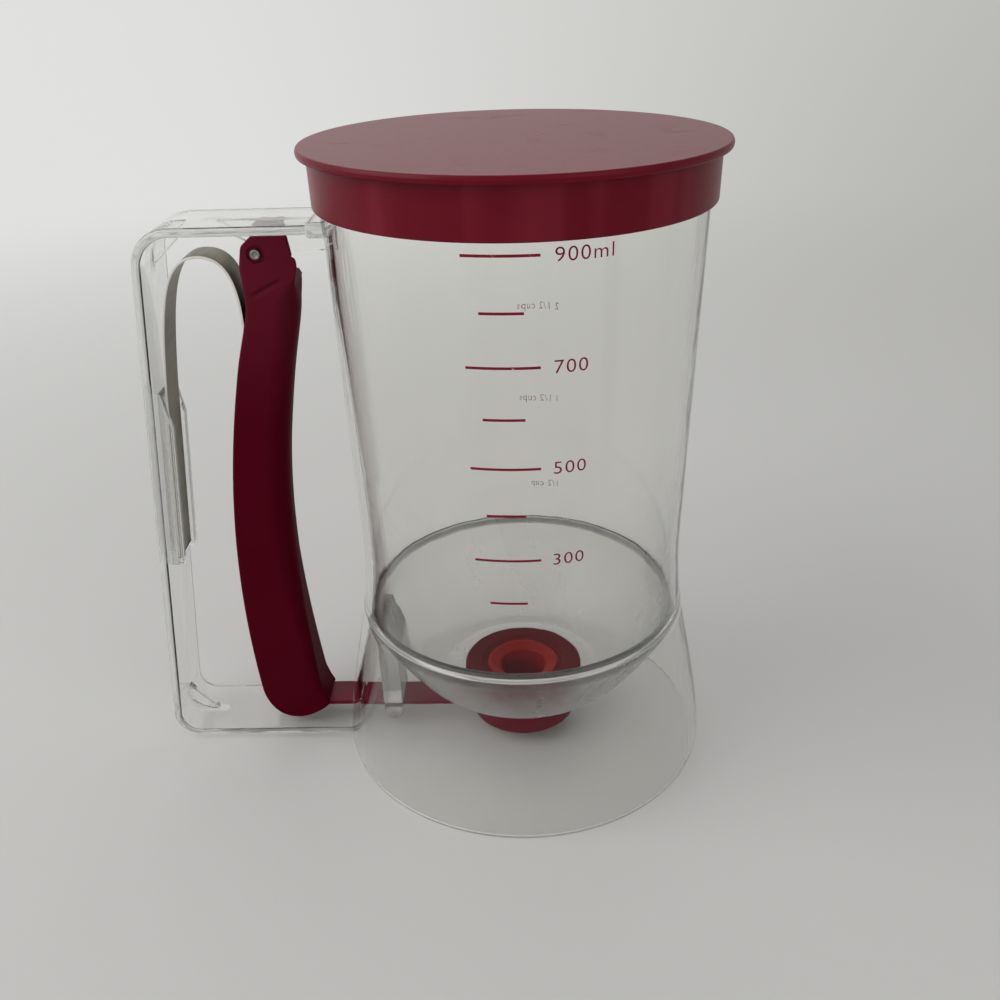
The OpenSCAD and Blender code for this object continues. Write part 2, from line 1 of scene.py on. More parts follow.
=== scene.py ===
import bpy
import bmesh
from math import atan, atan2, cos, hypot, pi, radians, sin, tan
from mathutils import Matrix, Vector
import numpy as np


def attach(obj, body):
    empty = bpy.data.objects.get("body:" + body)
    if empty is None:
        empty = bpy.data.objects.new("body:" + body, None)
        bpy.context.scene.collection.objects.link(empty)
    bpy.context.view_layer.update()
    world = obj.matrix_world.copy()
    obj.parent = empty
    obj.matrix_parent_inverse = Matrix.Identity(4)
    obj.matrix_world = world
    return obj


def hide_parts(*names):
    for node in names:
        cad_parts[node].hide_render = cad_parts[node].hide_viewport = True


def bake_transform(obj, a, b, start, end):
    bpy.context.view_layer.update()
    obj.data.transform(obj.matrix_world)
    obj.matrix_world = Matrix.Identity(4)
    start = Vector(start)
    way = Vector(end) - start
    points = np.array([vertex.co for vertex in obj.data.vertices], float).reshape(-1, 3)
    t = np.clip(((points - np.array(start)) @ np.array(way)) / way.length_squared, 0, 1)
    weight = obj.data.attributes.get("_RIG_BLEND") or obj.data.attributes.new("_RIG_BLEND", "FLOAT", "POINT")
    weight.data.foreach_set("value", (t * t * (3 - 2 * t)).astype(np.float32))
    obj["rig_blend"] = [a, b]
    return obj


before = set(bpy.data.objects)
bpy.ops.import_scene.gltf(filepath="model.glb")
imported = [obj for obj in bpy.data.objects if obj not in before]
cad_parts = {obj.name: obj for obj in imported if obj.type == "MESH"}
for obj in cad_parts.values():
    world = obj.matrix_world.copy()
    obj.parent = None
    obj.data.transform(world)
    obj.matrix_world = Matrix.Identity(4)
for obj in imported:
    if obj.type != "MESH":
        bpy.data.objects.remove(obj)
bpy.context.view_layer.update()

mm = 0.001
scene = bpy.context.scene
print("frame loaded")


view = {
    "reach": 280.5,    # mm from the jug's axis, along -Y
    "height": 226.9,
    "yaw": -1.25,      # degrees, towards +X
    "pitch": 27.38,    # down from level
    "roll": -1.61,
    "focal": 1.035,    # focal length as a share of the picture's width
    "sensor": 36,
    "nearest": 10,    # mm, nearer things aren't seen
}


def makeCamera():
    data = bpy.data.cameras.new("studioCamera")
    data.sensor_width = view["sensor"]
    data.lens = view["sensor"] * view["focal"]
    data.clip_start = view["nearest"] * mm
    camera = bpy.data.objects.new("studioCamera", data)
    scene.collection.objects.link(camera)
    placed = Matrix.Translation((0, -view["reach"] * mm, view["height"] * mm))
    for angle, axis in ((-view["yaw"], "Z"), (90 - view["pitch"], "X"), (view["roll"], "Z")):
        placed = placed @ Matrix.Rotation(radians(angle), 4, axis)
    camera.matrix_world = placed
    scene.camera = camera


makeCamera()


def bez(p0, p1, p2, p3, steps=24):
    out = []
    for i in range(steps + 1):
        t = i / steps
        a, b, c, d = (1 - t) ** 3, 3 * (1 - t) ** 2 * t, 3 * (1 - t) * t * t, t ** 3
        out.append((a * p0[0] + b * p1[0] + c * p2[0] + d * p3[0],
                    a * p0[1] + b * p1[1] + c * p2[1] + d * p3[1]))
    return out


# 0 up to low, 1 from high on, smooth between
def ramp(value, low, high):
    t = min(1, max(0, (value - low) / (high - low)))
    return t * t * (3 - 2 * t)


def arc(centre, radius, start, end, steps=12):
    out = []
    for i in range(steps + 1):
        w = radians(start + (end - start) * i / steps)
        out.append((centre[0] + radius * cos(w), centre[1] + radius * sin(w)))
    return out


# open line moved to its left
def beside(points, distance):
    out = []
    for i, p in enumerate(points):
        a = Vector(points[max(i - 1, 0)][:2])
        b = Vector(points[min(i + 1, len(points) - 1)][:2])
        d = (b - a).normalized()
        out.append((p[0] - d.y * distance, p[1] + d.x * distance))
    return out


# closed outline; a point given as (x, y, r) gets its corner rounded with radius r
def filleted(points, steps=5):
    out = []
    n = len(points)
    for i, p in enumerate(points):
        if len(p) < 3 or p[2] <= 0:
            out.append((p[0], p[1]))
            continue
        v = Vector(p[:2])
        ua = Vector(points[i - 1][:2]) - v
        ub = Vector(points[(i + 1) % n][:2]) - v
        longest = 0.48 * min(ua.length, ub.length)    # each corner takes less than half a side
        ua.normalize()
        ub.normalize()
        half = ua.angle(ub) / 2
        if half > radians(88):    # as good as straight
            out.append((p[0], p[1]))
            continue
        r = min(p[2], longest * tan(half))
        c = v + (ua + ub).normalized() * r / sin(half)
        a = v + ua * r / tan(half) - c
        b = v + ub * r / tan(half) - c
        start = atan2(a.y, a.x)
        turn = (atan2(b.y, b.x) - start + pi) % (2 * pi) - pi
        for k in range(steps + 1):
            w = start + turn * k / steps
            out.append((c.x + r * cos(w), c.y + r * sin(w)))
    return out


def box(x0, x1, z0, z1):
    return [(x0, z0), (x1, z0), (x1, z1), (x0, z1)]


def counterclockwise(points):
    area = 0
    for a, b in zip(points, points[1:] + points[:1]):
        area += a[0] * b[1] - b[0] * a[1]
    return points if area > 0 else points[::-1]


def newPiece(name, mesh):
    piece = bpy.data.objects.new(name, mesh)
    scene.collection.objects.link(piece)
    return piece


def built(name, bm):
    mesh = bpy.data.meshes.new(name)
    bm.to_mesh(mesh)
    bm.free()
    return newPiece(name, mesh)


# closed profile of (radius, height) in mm, turned about the jug's axis
def lathe(name, profile, segments=256):
    profile = counterclockwise(profile)
    bm = bmesh.new()
    rings = []
    for r, z in profile:
        if r < 1e-6:
            rings.append([bm.verts.new((0, 0, z * mm))] * segments)
            continue
        ring = []
        for s in range(segments):
            w = 2 * pi * s / segments
            ring.append(bm.verts.new((r * mm * cos(w), r * mm * sin(w), z * mm)))
        rings.append(ring)
    for low, high in zip(rings, rings[1:] + rings[:1]):
        for s in range(segments):
            t = (s + 1) % segments
            corners = list(dict.fromkeys((low[s], low[t], high[t], high[s])))
            if len(corners) > 2:
                bm.faces.new(corners)
    return built(name, bm)


# outline in the XZ plane, thickened along Y; edge is one radius or one for each point
def plate(name, outline, halfWidth, edge=0.0, steps=4, y0=0.0):
    radii = list(edge) if isinstance(edge, (list, tuple)) else [edge] * len(outline)
    if counterclockwise(outline) is not outline:
        outline, radii = outline[::-1], radii[::-1]
    n = len(outline)
    bm = bmesh.new()
    layers = []
    if max(radii) > 0:
        turns = [pi / 2 * k / steps for k in range(steps + 1)]
        stations = [(-1, w) for w in turns] + [(1, w) for w in reversed(turns)]
    else:
        stations = [(-1, pi / 2), (1, pi / 2)]
    normals = []
    for i in range(n):
        a, p, b = (Vector(outline[(i + k) % n]) for k in (-1, 0, 1))
        da, db = (p - a).normalized(), (b - p).normalized()
        na, nb = Vector((-da.y, da.x)), Vector((-db.y, db.x))
        mid = (na + nb).normalized()
        normals.append(mid / max(mid.dot(na), 0.5))
    for side, w in stations:
        ring = []
        for (x, z), m, r in zip(outline, normals, radii):
            y = y0 + side * (halfWidth - r * (1 - cos(w)))
            inset = r * (1 - sin(w))
            ring.append(bm.verts.new(((x + m.x * inset) * mm, y * mm,
                                      (z + m.y * inset) * mm)))
        layers.append(ring)
    for low, high in zip(layers, layers[1:]):
        for i in range(n):
            j = (i + 1) % n
            bm.faces.new((low[i], low[j], high[j], high[i]))
    bm.faces.new(list(layers[0])[::-1])
    bm.faces.new(list(layers[-1]))
    bmesh.ops.recalc_face_normals(bm, faces=bm.faces)
    return built(name, bm)


# turned pin along Y: profile of (radius, y) in mm
def pinAcross(name, x, z, profile, segments=64):
    piece = lathe(name, profile, segments)
    turn = Matrix.Translation((x * mm, 0, z * mm)) @ Matrix.Rotation(radians(90), 4, "X")
    piece.data.transform(turn)
    return piece


# turns a piece with live modifiers into a plain mesh
def applied(piece):
    deps = bpy.context.evaluated_depsgraph_get()
    deps.update()
    mesh = bpy.data.meshes.new_from_object(piece.evaluated_get(deps))
    mesh.name = piece.name
    if piece.type == "MESH":
        piece.modifiers.clear()
        piece.data = mesh
        return piece
    name = piece.name
    bpy.data.objects.remove(piece)
    return newPiece(name, mesh)


def combine(piece, other, how="DIFFERENCE"):
    boolean = piece.modifiers.new("combine", "BOOLEAN")
    boolean.operation = how
    boolean.solver = "EXACT"
    boolean.object = other
    applied(piece)
    bpy.data.objects.remove(other)
    return piece


# merges points nearer than distance, in m, then does the given work on the mesh
def reworked(mesh, distance, work):
    bm = bmesh.new()
    bm.from_mesh(mesh)
    bmesh.ops.remove_doubles(bm, verts=bm.verts, dist=distance)
    work(bm)
    bm.to_mesh(mesh)
    bm.free()


# cuts an outline in the XZ plane out of a piece
def cut(piece, outline, halfWidth, edge=0.0, steps=4, y0=0.0):
    combine(piece, plate("tool", outline, halfWidth, edge, steps, y0))


# a merged copy of a CAD node's mesh, ready for modifiers
def cadCopy(name, node):
    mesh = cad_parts[node].data.copy()
    mesh.name = name
    reworked(mesh, 2e-6, lambda bm: bmesh.ops.dissolve_limit(
        bm, angle_limit=radians(1), verts=bm.verts, edges=bm.edges))
    mesh.materials.clear()
    for kept in [a.name for a in mesh.attributes if a.name.startswith("custom_normal")]:
        mesh.attributes.remove(mesh.attributes[kept])
    return newPiece(name, mesh)


def softEdges(piece, width, angle=35, segments=3):
    bevel = piece.modifiers.new("softEdges", "BEVEL")
    bevel.width = width * mm
    bevel.segments = segments
    bevel.limit_method = "ANGLE"
    bevel.angle_limit = radians(angle)
    bevel.harden_normals = False
    bevel.use_clamp_overlap = True
    return applied(piece)


# smooth shading, material, and the piece's place in the frame
def finished(piece, material, replaced=None, body="jug", angle=32):
    mesh = piece.data
    mesh.materials.clear()
    mesh.materials.append(material)
    mesh.shade_smooth()
    mesh.set_sharp_from_angle(angle=radians(angle))
    even = piece.modifiers.new("evenNormals", "WEIGHTED_NORMAL")
    even.mode = "FACE_AREA"
    even.weight = 50
    even.keep_sharp = True
    applied(piece)
    if body:
        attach(piece, body)
    if replaced:
        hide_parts(replaced)
    return piece


# a node's output: Python's operators add Math nodes, and [name] is another of its outputs
class Val:
    def __init__(self, tree, socket):
        self.tree = tree
        self.socket = socket

    def __getitem__(self, key):
        return Val(self.tree, self.socket.node.outputs[key])

    def maths(self, operation, a, b=None):
        sockets = {0: a} if b is None else {0: a, 1: b}
        return self.tree.node("ShaderNodeMath", sockets, operation=operation)

    def __add__(self, other):
        return self.maths("ADD", self, other)

    def __radd__(self, other):
        return self.maths("ADD", other, self)

    def __sub__(self, other):
        return self.maths("SUBTRACT", self, other)

    def __rsub__(self, other):
        return self.maths("SUBTRACT", other, self)

    def __mul__(self, other):
        return self.maths("MULTIPLY", self, other)

    def __rmul__(self, other):
        return self.maths("MULTIPLY", other, self)

    def size(self):
        return self.maths("ABSOLUTE", self)

    # 0 below low, 1 above high, smooth between
    def step(self, low, high):
        sockets = {"Value": self, "From Min": low, "From Max": high}
        return self.tree.node("ShaderNodeMapRange", sockets, interpolation_type="SMOOTHSTEP")

    def top(self, other):
        return self.maths("MAXIMUM", self, other)


# a node tree to which nodes are added with their settings and inputs
class Tree:
    def __init__(self, tree):
        self.tree = tree

    def node(self, kind, sockets=None, **settings):
        made = self.tree.nodes.new(kind)
        for key, value in settings.items():
            setattr(made, key, value)
        for key, value in (sockets or {}).items():
            self.feed(made.inputs[key], value)
        return Val(self, made.outputs[0]) if made.outputs else None

    def feed(self, socket, value):
        if isinstance(value, Val):
            self.tree.links.new(value.socket, socket)
        elif isinstance(value, (tuple, list)) and socket.type == "RGBA" and len(value) == 3:
            socket.default_value = (*value, 1)
        else:
            socket.default_value = value


# one material's node tree, or the world's
class Graph(Tree):
    def __init__(self, name, world=None):
        self.material = world or bpy.data.materials.new(name)
        self.material.use_nodes = True
        super().__init__(self.material.node_tree)
        self.tree.nodes.clear()
        self.end = self.tree.nodes.new("ShaderNodeOutput" + ("World" if world else "Material"))
        self.place = self.node("ShaderNodeTexCoord")["Object"]

    # distance along one of the object's axes, in mm
    def axis(self, which):
        return self.node("ShaderNodeSeparateXYZ", {0: self.place})[which] * 1000

    # object coordinates stretched by a scale for each axis
    def spread(self, scale):
        return self.node("ShaderNodeMapping", {"Vector": self.place, "Scale": scale})

    def noise(self, scale, detail=3.0, rough=0.55, where=None, warp=0.0):
        return self.node("ShaderNodeTexNoise", {
            "Vector": where or self.place, "Scale": scale, "Detail": detail,
            "Roughness": rough, "Distortion": warp})["Fac"]

    def mix(self, factor, a, b, blend="MIX"):
        return self.node("ShaderNodeMix", {0: factor, 6: a, 7: b}, data_type="RGBA",
                         blend_type=blend)[2]

    def bump(self, height, strength, distance, under=None):
        sockets = {"Height": height, "Strength": strength, "Distance": distance}
        if under is not None:
            sockets["Normal"] = under
        return self.node("ShaderNodeBump", sockets)

    def principled(self, sockets):
        return self.node("ShaderNodeBsdfPrincipled", sockets)

    def mixShaders(self, factor, under, over):
        return self.node("ShaderNodeMixShader", {0: factor, 1: under, 2: over})

    def surface(self, shader):
        self.feed(self.end.inputs["Surface"], shader)

    # a soft groove along a line in the XZ plane, given by two points in mm
    def crease(self, line):
        (ax, az), (bx, bz) = line
        length = hypot(bx - ax, bz - az)
        ux, uz = (bx - ax) / length, (bz - az) / length
        x, z = self.axis(0) - ax, self.axis(2) - az
        off = (x * -uz + z * ux).size()
        along = x * ux + z * uz
        fade, half = 1.5, 1.2    # mm at its ends, mm to each side
        inside = along.step(-fade, fade) * (1 - along.step(length - fade, length + fade))
        return (1 - off.step(0.0, half)) * inside

    # thin random lines: the edges of stretched, warped cells
    def scratches(self, scale, seed, along, width):
        where = self.node("ShaderNodeMapping", {
            "Vector": self.place, "Scale": along, "Location": (seed, seed * 2.1, 0),
            "Rotation": (seed * 0.7, seed * 1.3, seed * 0.4)})
        warp = self.node("ShaderNodeTexNoise",
                         {"Vector": where, "Scale": scale * 0.35, "Detail": 2.0})["Color"]
        bent = self.mix(0.02, where, warp, "ADD")
        cells = self.node("ShaderNodeTexVoronoi", {"Vector": bent, "Scale": scale},
                          feature="DISTANCE_TO_EDGE")
        return 1 - cells["Distance"].step(0.0, width)


# see-through moulded plastic; lamps' rays pass it with a light tint
def clearPlastic(name, tint, rough, haze=0.0, shade=0.86, wave=0.3, rubbedAndPaintedLight=None):
    g = Graph(name)
    dust = g.noise(900, 2).step(0.64, 0.8)
    smear = g.noise(38, 3, 0.6, g.spread((1, 1, 0.35)), 0.4).step(0.35, 0.75)
    wiped = g.noise(170, 2, 0.5, g.spread((1, 1, 0.05))).step(0.52, 0.78)
    roughness = rough + smear * (rough * 0.6 + haze * 0.3) + wiped * 0.04 + dust * 0.015
    flow = g.noise(26, 2, 0.5, g.spread((1, 1, 0.16)))
    ripple = g.noise(120, 2, 0.5, g.spread((1, 1, 0.6)))
    normal = g.bump(flow + ripple * 0.12, wave, 0.0016)
    colour = g.mix(smear * 0.5 + wiped * 0.3, tint, tuple(c * 0.965 for c in tint))
    body = g.principled({
        "Base Color": colour, "Roughness": roughness, "IOR": 1.5,
        "Specular Tint": (0.25, 0.25, 0.25), "Transmission Weight": 1.0, "Normal": normal})
    # painted highlights and painted shade: a diffuse layer mixed over the clear plastic where a function for
    # it is given
    if rubbedAndPaintedLight:
        factor, tone = rubbedAndPaintedLight(g)
        wornAndPaintedLight = g.principled({"Base Color": tone, "Roughness": 0.45, "Specular IOR Level": 0.3})
        body = g.mixShaders(factor * (0.75 + smear * 0.25), body, wornAndPaintedLight)
    through = g.node("ShaderNodeBsdfTransparent", {"Color": (shade, shade, shade)})
    rays = g.node("ShaderNodeLightPath")
    g.surface(g.mixShaders(rays["Is Shadow Ray"], body, through))
    return g.material


# where painted highlights and painted shade start and end along an axis, in mm, and their colours:
# highlights at the jug's seam and foot, the band's edges and ribs, the lid's skirt and the trigger's head;
# shade on the guide, the funnel's rim and in the seal's throat
paintedLight = {
    "pale": (0.86, 0.86, 0.84), "seamZ": 50.1, "seam": (0.05, 0.3), "foot": (0.25, 0.75),
    "bandY": (11.5, 12.1), "ribY": (0.9, 1.3), "lowX": (-103, -99), "lowZ": (11, 15),
    "highX": (-91, -87), "highZ": (153, 157), "guide": (0.22, 0.21, 0.20),
    "rimFrom": (48.9, 49.2), "rimTo": (50.9, 51.2), "rim": (0.10, 0.10, 0.095),
    "lidTop": (185.0, 185.4), "lid": (0.206, 0.0143, 0.0282),
    "headZ": (105, 158), "head": (0.145, 0.013, 0.029),
    "throatZ": (19.0, 21.0), "throat": (0.22, 0.003, 0.012),
}


# painted highlights: the jug is painted pale at its seam and at the foot's rim
def jugEdges(g):
    z = g.axis(2)
    seam = 1 - (z - paintedLight["seamZ"]).size().step(*paintedLight["seam"])
    foot = 1 - z.step(*paintedLight["foot"])
    return (seam + foot) * 0.5, paintedLight["pale"]


# painted highlights along the band's long edges and on the ribs in its corners
def bandEdges(g):
    x, y, z = g.axis(0), g.axis(1).size(), g.axis(2)
    low = (1 - z.step(*paintedLight["lowZ"])) * (1 - x.step(*paintedLight["lowX"]))
    high = z.step(*paintedLight["highZ"]) * (1 - x.step(*paintedLight["highX"]))
    ribs = (1 - y.step(*paintedLight["ribY"])) * (low + high)
    return y.step(*paintedLight["bandY"]) * 0.42 + ribs * 0.5, paintedLight["pale"]


# painted shade: the guide is greyed all over to dim it
def guideDull(g):
    return 0.3, paintedLight["guide"]


# painted shade: a grey ring on the funnel's rim where it is joined to the barrel
def funnelRim(g):
    z = g.axis(2)
    return z.step(*paintedLight["rimFrom"]) * (1 - z.step(*paintedLight["rimTo"])) * 0.5, paintedLight["rim"]


# painted highlights: faint paler upright streaks on the lid's skirt
def lidStreaks(g):
    bands = g.noise(75, 1.5, 0.5, g.spread((1, 1, 0.04))).step(0.5, 0.62)
    return bands * (1 - g.axis(2).step(*paintedLight["lidTop"])) * 0.5, paintedLight["lid"]


# painted light: the trigger is painted paler towards its head
def headBloom(g):
    cloud = g.noise(40, 3)
    return g.axis(2).step(*paintedLight["headZ"]) * (0.45 + cloud * 0.4), paintedLight["head"]


# opaque moulded plastic with fine grain, rubbed patches and hairline scratches; where a function for it is
# given, painted light is mixed into its colour
def colouredPlastic(name, colour, dark, rough, grain=0.25, specular=0.22, crease=None,
                    wornAndPaintedLight=None):
    g = Graph(name)
    cloud = g.noise(24, 3, 0.5).step(0.3, 0.75)
    speck = g.noise(1400, 2, 0.6)
    rubbedAndPaintedLight = g.noise(65, 4, 0.6, None, 0.6).step(0.55, 0.8)
    lines = g.scratches(160, 1.0, (1, 1, 0.45), 0.01) * g.noise(85, 2).step(0.6, 0.7)
    tone = g.mix(cloud * 0.55 + speck * 0.15, dark, colour)
    paler = tuple(min(1, c * 1.5 + 0.03) for c in colour)
    tone = g.mix(lines * 0.12 + rubbedAndPaintedLight * 0.05, tone, paler)
    # painted light: a paler tone mixed in where the function puts it
    if wornAndPaintedLight:
        factor, pale = wornAndPaintedLight(g)
        tone = g.mix(factor, tone, pale)
    roughness = rough + rubbedAndPaintedLight * 0.07 + (speck - 0.5) * 0.08 - lines * 0.03
    normal = g.bump(speck + cloud * 0.3 - lines * 0.25, grain, 0.00012)
    if crease:
        normal = g.bump(1 - g.crease(crease), 0.9, 0.0008, normal)
    g.surface(g.principled({"Base Color": tone, "Roughness": roughness, "Normal": normal,
                            "IOR": 1.49, "Specular IOR Level": specular}))
    return g.material


# highlightFrom is where across the piece, in mm from its middle, a painted highlight along its edges starts
def brushedSteel(name, colour, rough, along, highlightFrom=1000):
    g = Graph(name)
    brush = g.noise(1, 3, 0.6, g.spread(along))
    blotch = g.noise(55, 3, 0.55).step(0.35, 0.75)
    tone = g.mix(brush * 0.6 + blotch * 0.25, colour, tuple(c * 0.62 for c in colour))
    # painted highlight: pale along the edges
    tone = g.mix(g.axis(1).size().step(highlightFrom - 0.2, highlightFrom), tone, (0.8, 0.78, 0.72))
    roughness = rough + brush * 0.12 + blotch * 0.07
    g.surface(g.principled({"Base Color": tone, "Roughness": roughness, "Metallic": 1.0,
                            "Normal": g.bump(brush, 0.18, 0.00005)}))
    return g.material


def silicone(name, colour, dark):
    g = Graph(name)
    cloud = g.noise(90, 3)
    speck = g.noise(1100, 2)
    throatShadeMask = 1 - g.axis(2).step(*paintedLight["throatZ"])    # painted shade, down in the throat
    tone = g.mix(throatShadeMask, g.mix(cloud, dark, colour), paintedLight["throat"])
    g.surface(g.principled({
        "Base Color": tone, "Roughness": 0.42 + speck * 0.16, "IOR": 1.43,
        "Normal": g.bump(speck + cloud, 0.2, 0.0001), "Specular IOR Level": 0.2}))
    return g.material


def printedInk(name, colour, dark, cover=1.0):
    g = Graph(name)
    patch = g.noise(700, 3, 0.6).step(0.3, 0.7)
    wornAndPaintedLight = g.noise(420, 3, 0.65, None, 0.3).step(0.66, 0.74)
    g.surface(g.principled({
        "Base Color": g.mix(patch, dark, colour), "Roughness": 0.38 + patch * 0.15,
        "Alpha": (1 - wornAndPaintedLight * 0.85) * cover, "Normal": g.bump(patch, 0.2, 0.00004),
        "Specular IOR Level": 0.2}))
    return g.material


clearTint = (0.965, 0.965, 0.95)
jugClear = clearPlastic("clearPlastic", clearTint, 0.012, wave=0.2, rubbedAndPaintedLight=jugEdges)
handleClear = clearPlastic("clearHandlePlastic", (0.965, 0.965, 0.955), 0.03, 0.04, 0.84, 0.22,
                           bandEdges)
railClear = clearPlastic("clearRailPlastic", (0.965, 0.965, 0.955), 0.14, 0.1, 0.84, 0.22)
# the guide's greyer tint and its grey layer are painted shade that dims it
guideClear = clearPlastic("clearGuidePlastic", (0.88, 0.88, 0.87), 0.2, 0.1, 0.8, 0.2, guideDull)
funnelClear = clearPlastic("hazyPlastic", (0.94, 0.94, 0.93), 0.17, 0.1, 0.84, 0.05, funnelRim)
lidRed = colouredPlastic("lidRed", (0.155, 0.0018, 0.013), (0.128, 0.001, 0.010), 0.32, 0.16,
                         0.14, wornAndPaintedLight=lidStreaks)
crease = ((-71.0, 148.75), (-63.5, 152.5))
triggerRed = colouredPlastic("triggerCrimson", (0.088, 0.0006, 0.009), (0.068, 0.0004, 0.006),
                             0.52, 0.22, 0.03, crease, headBloom)
housingRed = colouredPlastic("housingRed", (0.15, 0.002, 0.014), (0.11, 0.001, 0.009), 0.32,
                             specular=0.1)
slideRed = colouredPlastic("slideRed", (0.18, 0.003, 0.020), (0.14, 0.002, 0.014), 0.36,
                           specular=0.12)
seatRed = colouredPlastic("seatDarkRed", (0.115, 0.001, 0.005), (0.085, 0.0008, 0.0035), 0.36,
                          specular=0.05)
springSteel = brushedSteel("springSteel", (0.150, 0.130, 0.092), 0.26, (900, 40, 900), 5.4)
pinSteel = brushedSteel("pinSteel", (0.30, 0.29, 0.27), 0.28, (500, 500, 500))
sealOrange = silicone("sealOrange", (0.29, 0.0045, 0.0018), (0.21, 0.0025, 0.0012))
scaleInk = printedInk("scaleInk", (0.25, 0.004, 0.020), (0.19, 0.003, 0.015))
faintInk = printedInk("faintInk", (0.36, 0.10, 0.12), (0.30, 0.08, 0.10), 0.8)
print("materials made")


jug = {
    "rimR": 51.7, "waistR": 48.4, "rimZ": 185.0, "waistZ": 73.0, "wall": 2.2,
    "seamZ": 50.0, "seamR": 49.8, "beadProud": 0.25, "beadH": 1.0,
    "footR": 57.9, "footH": 2.0, "rimRound": 0.8,
    "funnelWall": 2.0, "funnelRimT": 3.0, "funnelLip": 1.2, "floorZ": 21.5, "floorR": 25.0,
    "neckR": 13.9, "gap": 0.05, "loose": 0.3, "slotW": 12.0, "slotZ": (8.1, 10.7),
    "bendH": 8.0,       # the side is stepped finely to this far above the waist
    "flarePull": (0.31, 0.12),     # the skirt's curve handles, as shares of its spread
    "bowlRim": (0.09, 0.40), "bowlFloor": (0.40, 0.08),    # the bowl's, of spread and drop
    "lipFade": (1, 9),    # mm below the rim over which the funnel's wall gets its thickness
}


def flareR(z):
    share = (jug["waistZ"] - z) / (jug["waistZ"] - jug["seamZ"])
    return jug["waistR"] + (jug["seamR"] - jug["waistR"]) * share ** 2


def barrelR(z):
    if z < jug["waistZ"]:
        return flareR(z)
    return jug["waistR"] + (jug["rimR"] - jug["waistR"]) * (z - jug["waistZ"]) / (
        jug["rimZ"] - jug["waistZ"])


def barrelSide(steps=28):
    low, high = jug["seamZ"], jug["waistZ"] + jug["bendH"]
    side = []
    for i in range(steps + 1):
        z = low + (high - low) * i / steps
        side.append((barrelR(z), z))
    return side


def makeBarrel():
    wall, seamZ, proud = jug["wall"], jug["seamZ"], jug["beadProud"]
    side = [p for p in barrelSide() if p[1] > seamZ + 1.5]
    inner = [(r - wall, z) for r, z in side]
    rim = jug["rimR"]
    profile = filleted(
        [(jug["seamR"] - wall, seamZ + jug["gap"]),
         (jug["seamR"] + proud, seamZ + jug["gap"], 0.12),
         (jug["seamR"], seamZ + jug["beadH"], 1.0)] + side
        + [(rim, jug["rimZ"], jug["rimRound"]), (rim - wall, jug["rimZ"], jug["rimRound"])]
        + inner[::-1])
    finished(lathe("barrelShell", profile), jugClear, "measuring_barrel")


def skirtSide(steps=28):
    rise = jug["seamZ"] - jug["footH"]
    spread = jug["footR"] - jug["seamR"]
    long, short = jug["flarePull"]
    return bez((jug["seamR"], jug["seamZ"]),
               (jug["seamR"] + spread * long, jug["seamZ"] - rise * long),
               (jug["footR"] - spread * short, jug["footH"] + rise * long),
               (jug["footR"], jug["footH"]), steps)


shelfZ = jug["seamZ"] - jug["funnelRimT"] / 2
funnelRimR = min(jug["seamR"], flareR(shelfZ + jug["funnelRimT"])) - jug["wall"] - jug["gap"]


def makeSkirt():
    wall = jug["wall"]
    side = [p for p in skirtSide() if p[1] < jug["seamZ"] - jug["beadH"]]
    inner = [(r - wall, z) for r, z in side]
    proud = jug["seamR"] + jug["beadProud"]
    profile = filleted(
        [(proud, jug["seamZ"], 0.12), (jug["seamR"] - wall, jug["seamZ"])]
        + inner + [(jug["footR"] - wall, 0, 0.7), (jug["footR"], 0, 0.7)]
        + side[::-1])
    piece = lathe("skirtShell", profile)
    cut(piece, box(-90, -20, *jug["slotZ"]), jug["slotW"] / 2)
    finished(piece, jugClear, "base_skirt")


def makeFunnel():
    wall = jug["funnelWall"]
    rimZ = shelfZ + jug["gap"] + jug["funnelRimT"]
    underZ = jug["floorZ"] - wall
    drop = rimZ - underZ
    spread = funnelRimR - jug["floorR"]
    (rimIn, rimDown), (floorOut, floorUp) = jug["bowlRim"], jug["bowlFloor"]
    outer = bez((funnelRimR, rimZ), (funnelRimR - spread * rimIn, rimZ - drop * rimDown),
                (jug["floorR"] + spread * floorOut, underZ + drop * floorUp),
                (jug["floorR"], underZ), 44)
    thin, full = beside(outer, -jug["funnelLip"]), beside(outer, -wall)
    inner = []
    for a, b in zip(thin, full):
        share = ramp(rimZ - a[1], *jug["lipFade"])
        inner.append((a[0] + (b[0] - a[0]) * share, a[1] + (b[1] - a[1]) * share))
    inner = [p for p in inner if p[1] > jug["floorZ"] + 0.4]
    hole = jug["neckR"] + jug["loose"]
    profile = filleted([(*outer[0], 0.35), (inner[0][0], rimZ, 0.35)] + inner[1:]
                       + [(jug["floorR"] - 3, jug["floorZ"], 2),
                          (hole, jug["floorZ"], 0.4), (hole, underZ, 0.4)]
                       + outer[:0:-1])
    finished(lathe("funnelShell", profile), funnelClear, "funnel_bowl")


makeBarrel()
makeSkirt()
makeFunnel()
print("jug made")


valve = {
    "flangeR": 19.0, "flangeT": 1.5, "neckBottom": 11.0, "throatR": 6.8, "sealR": 11.6,
    "sealLip": 8.1, "housingR": 16.8, "housingBottom": 4.5, "chamfer": 1.0,
    "barZ": 8.7, "barT": 1.4, "gateW": 20.0, "gateReach": 9.3,
    "flangeRound": 0.7, "rimOut": 1.6, "rimIn": 1.2, "rimDown": 0.35,
}
flangeZ = jug["floorZ"] + jug["gap"]
flangeTop = flangeZ + valve["flangeT"]
seatLedge = valve["neckBottom"] + valve["flangeT"]
channelLow = valve["barZ"] - jug["loose"]
channelHigh = valve["barZ"] + valve["barT"] + jug["loose"]


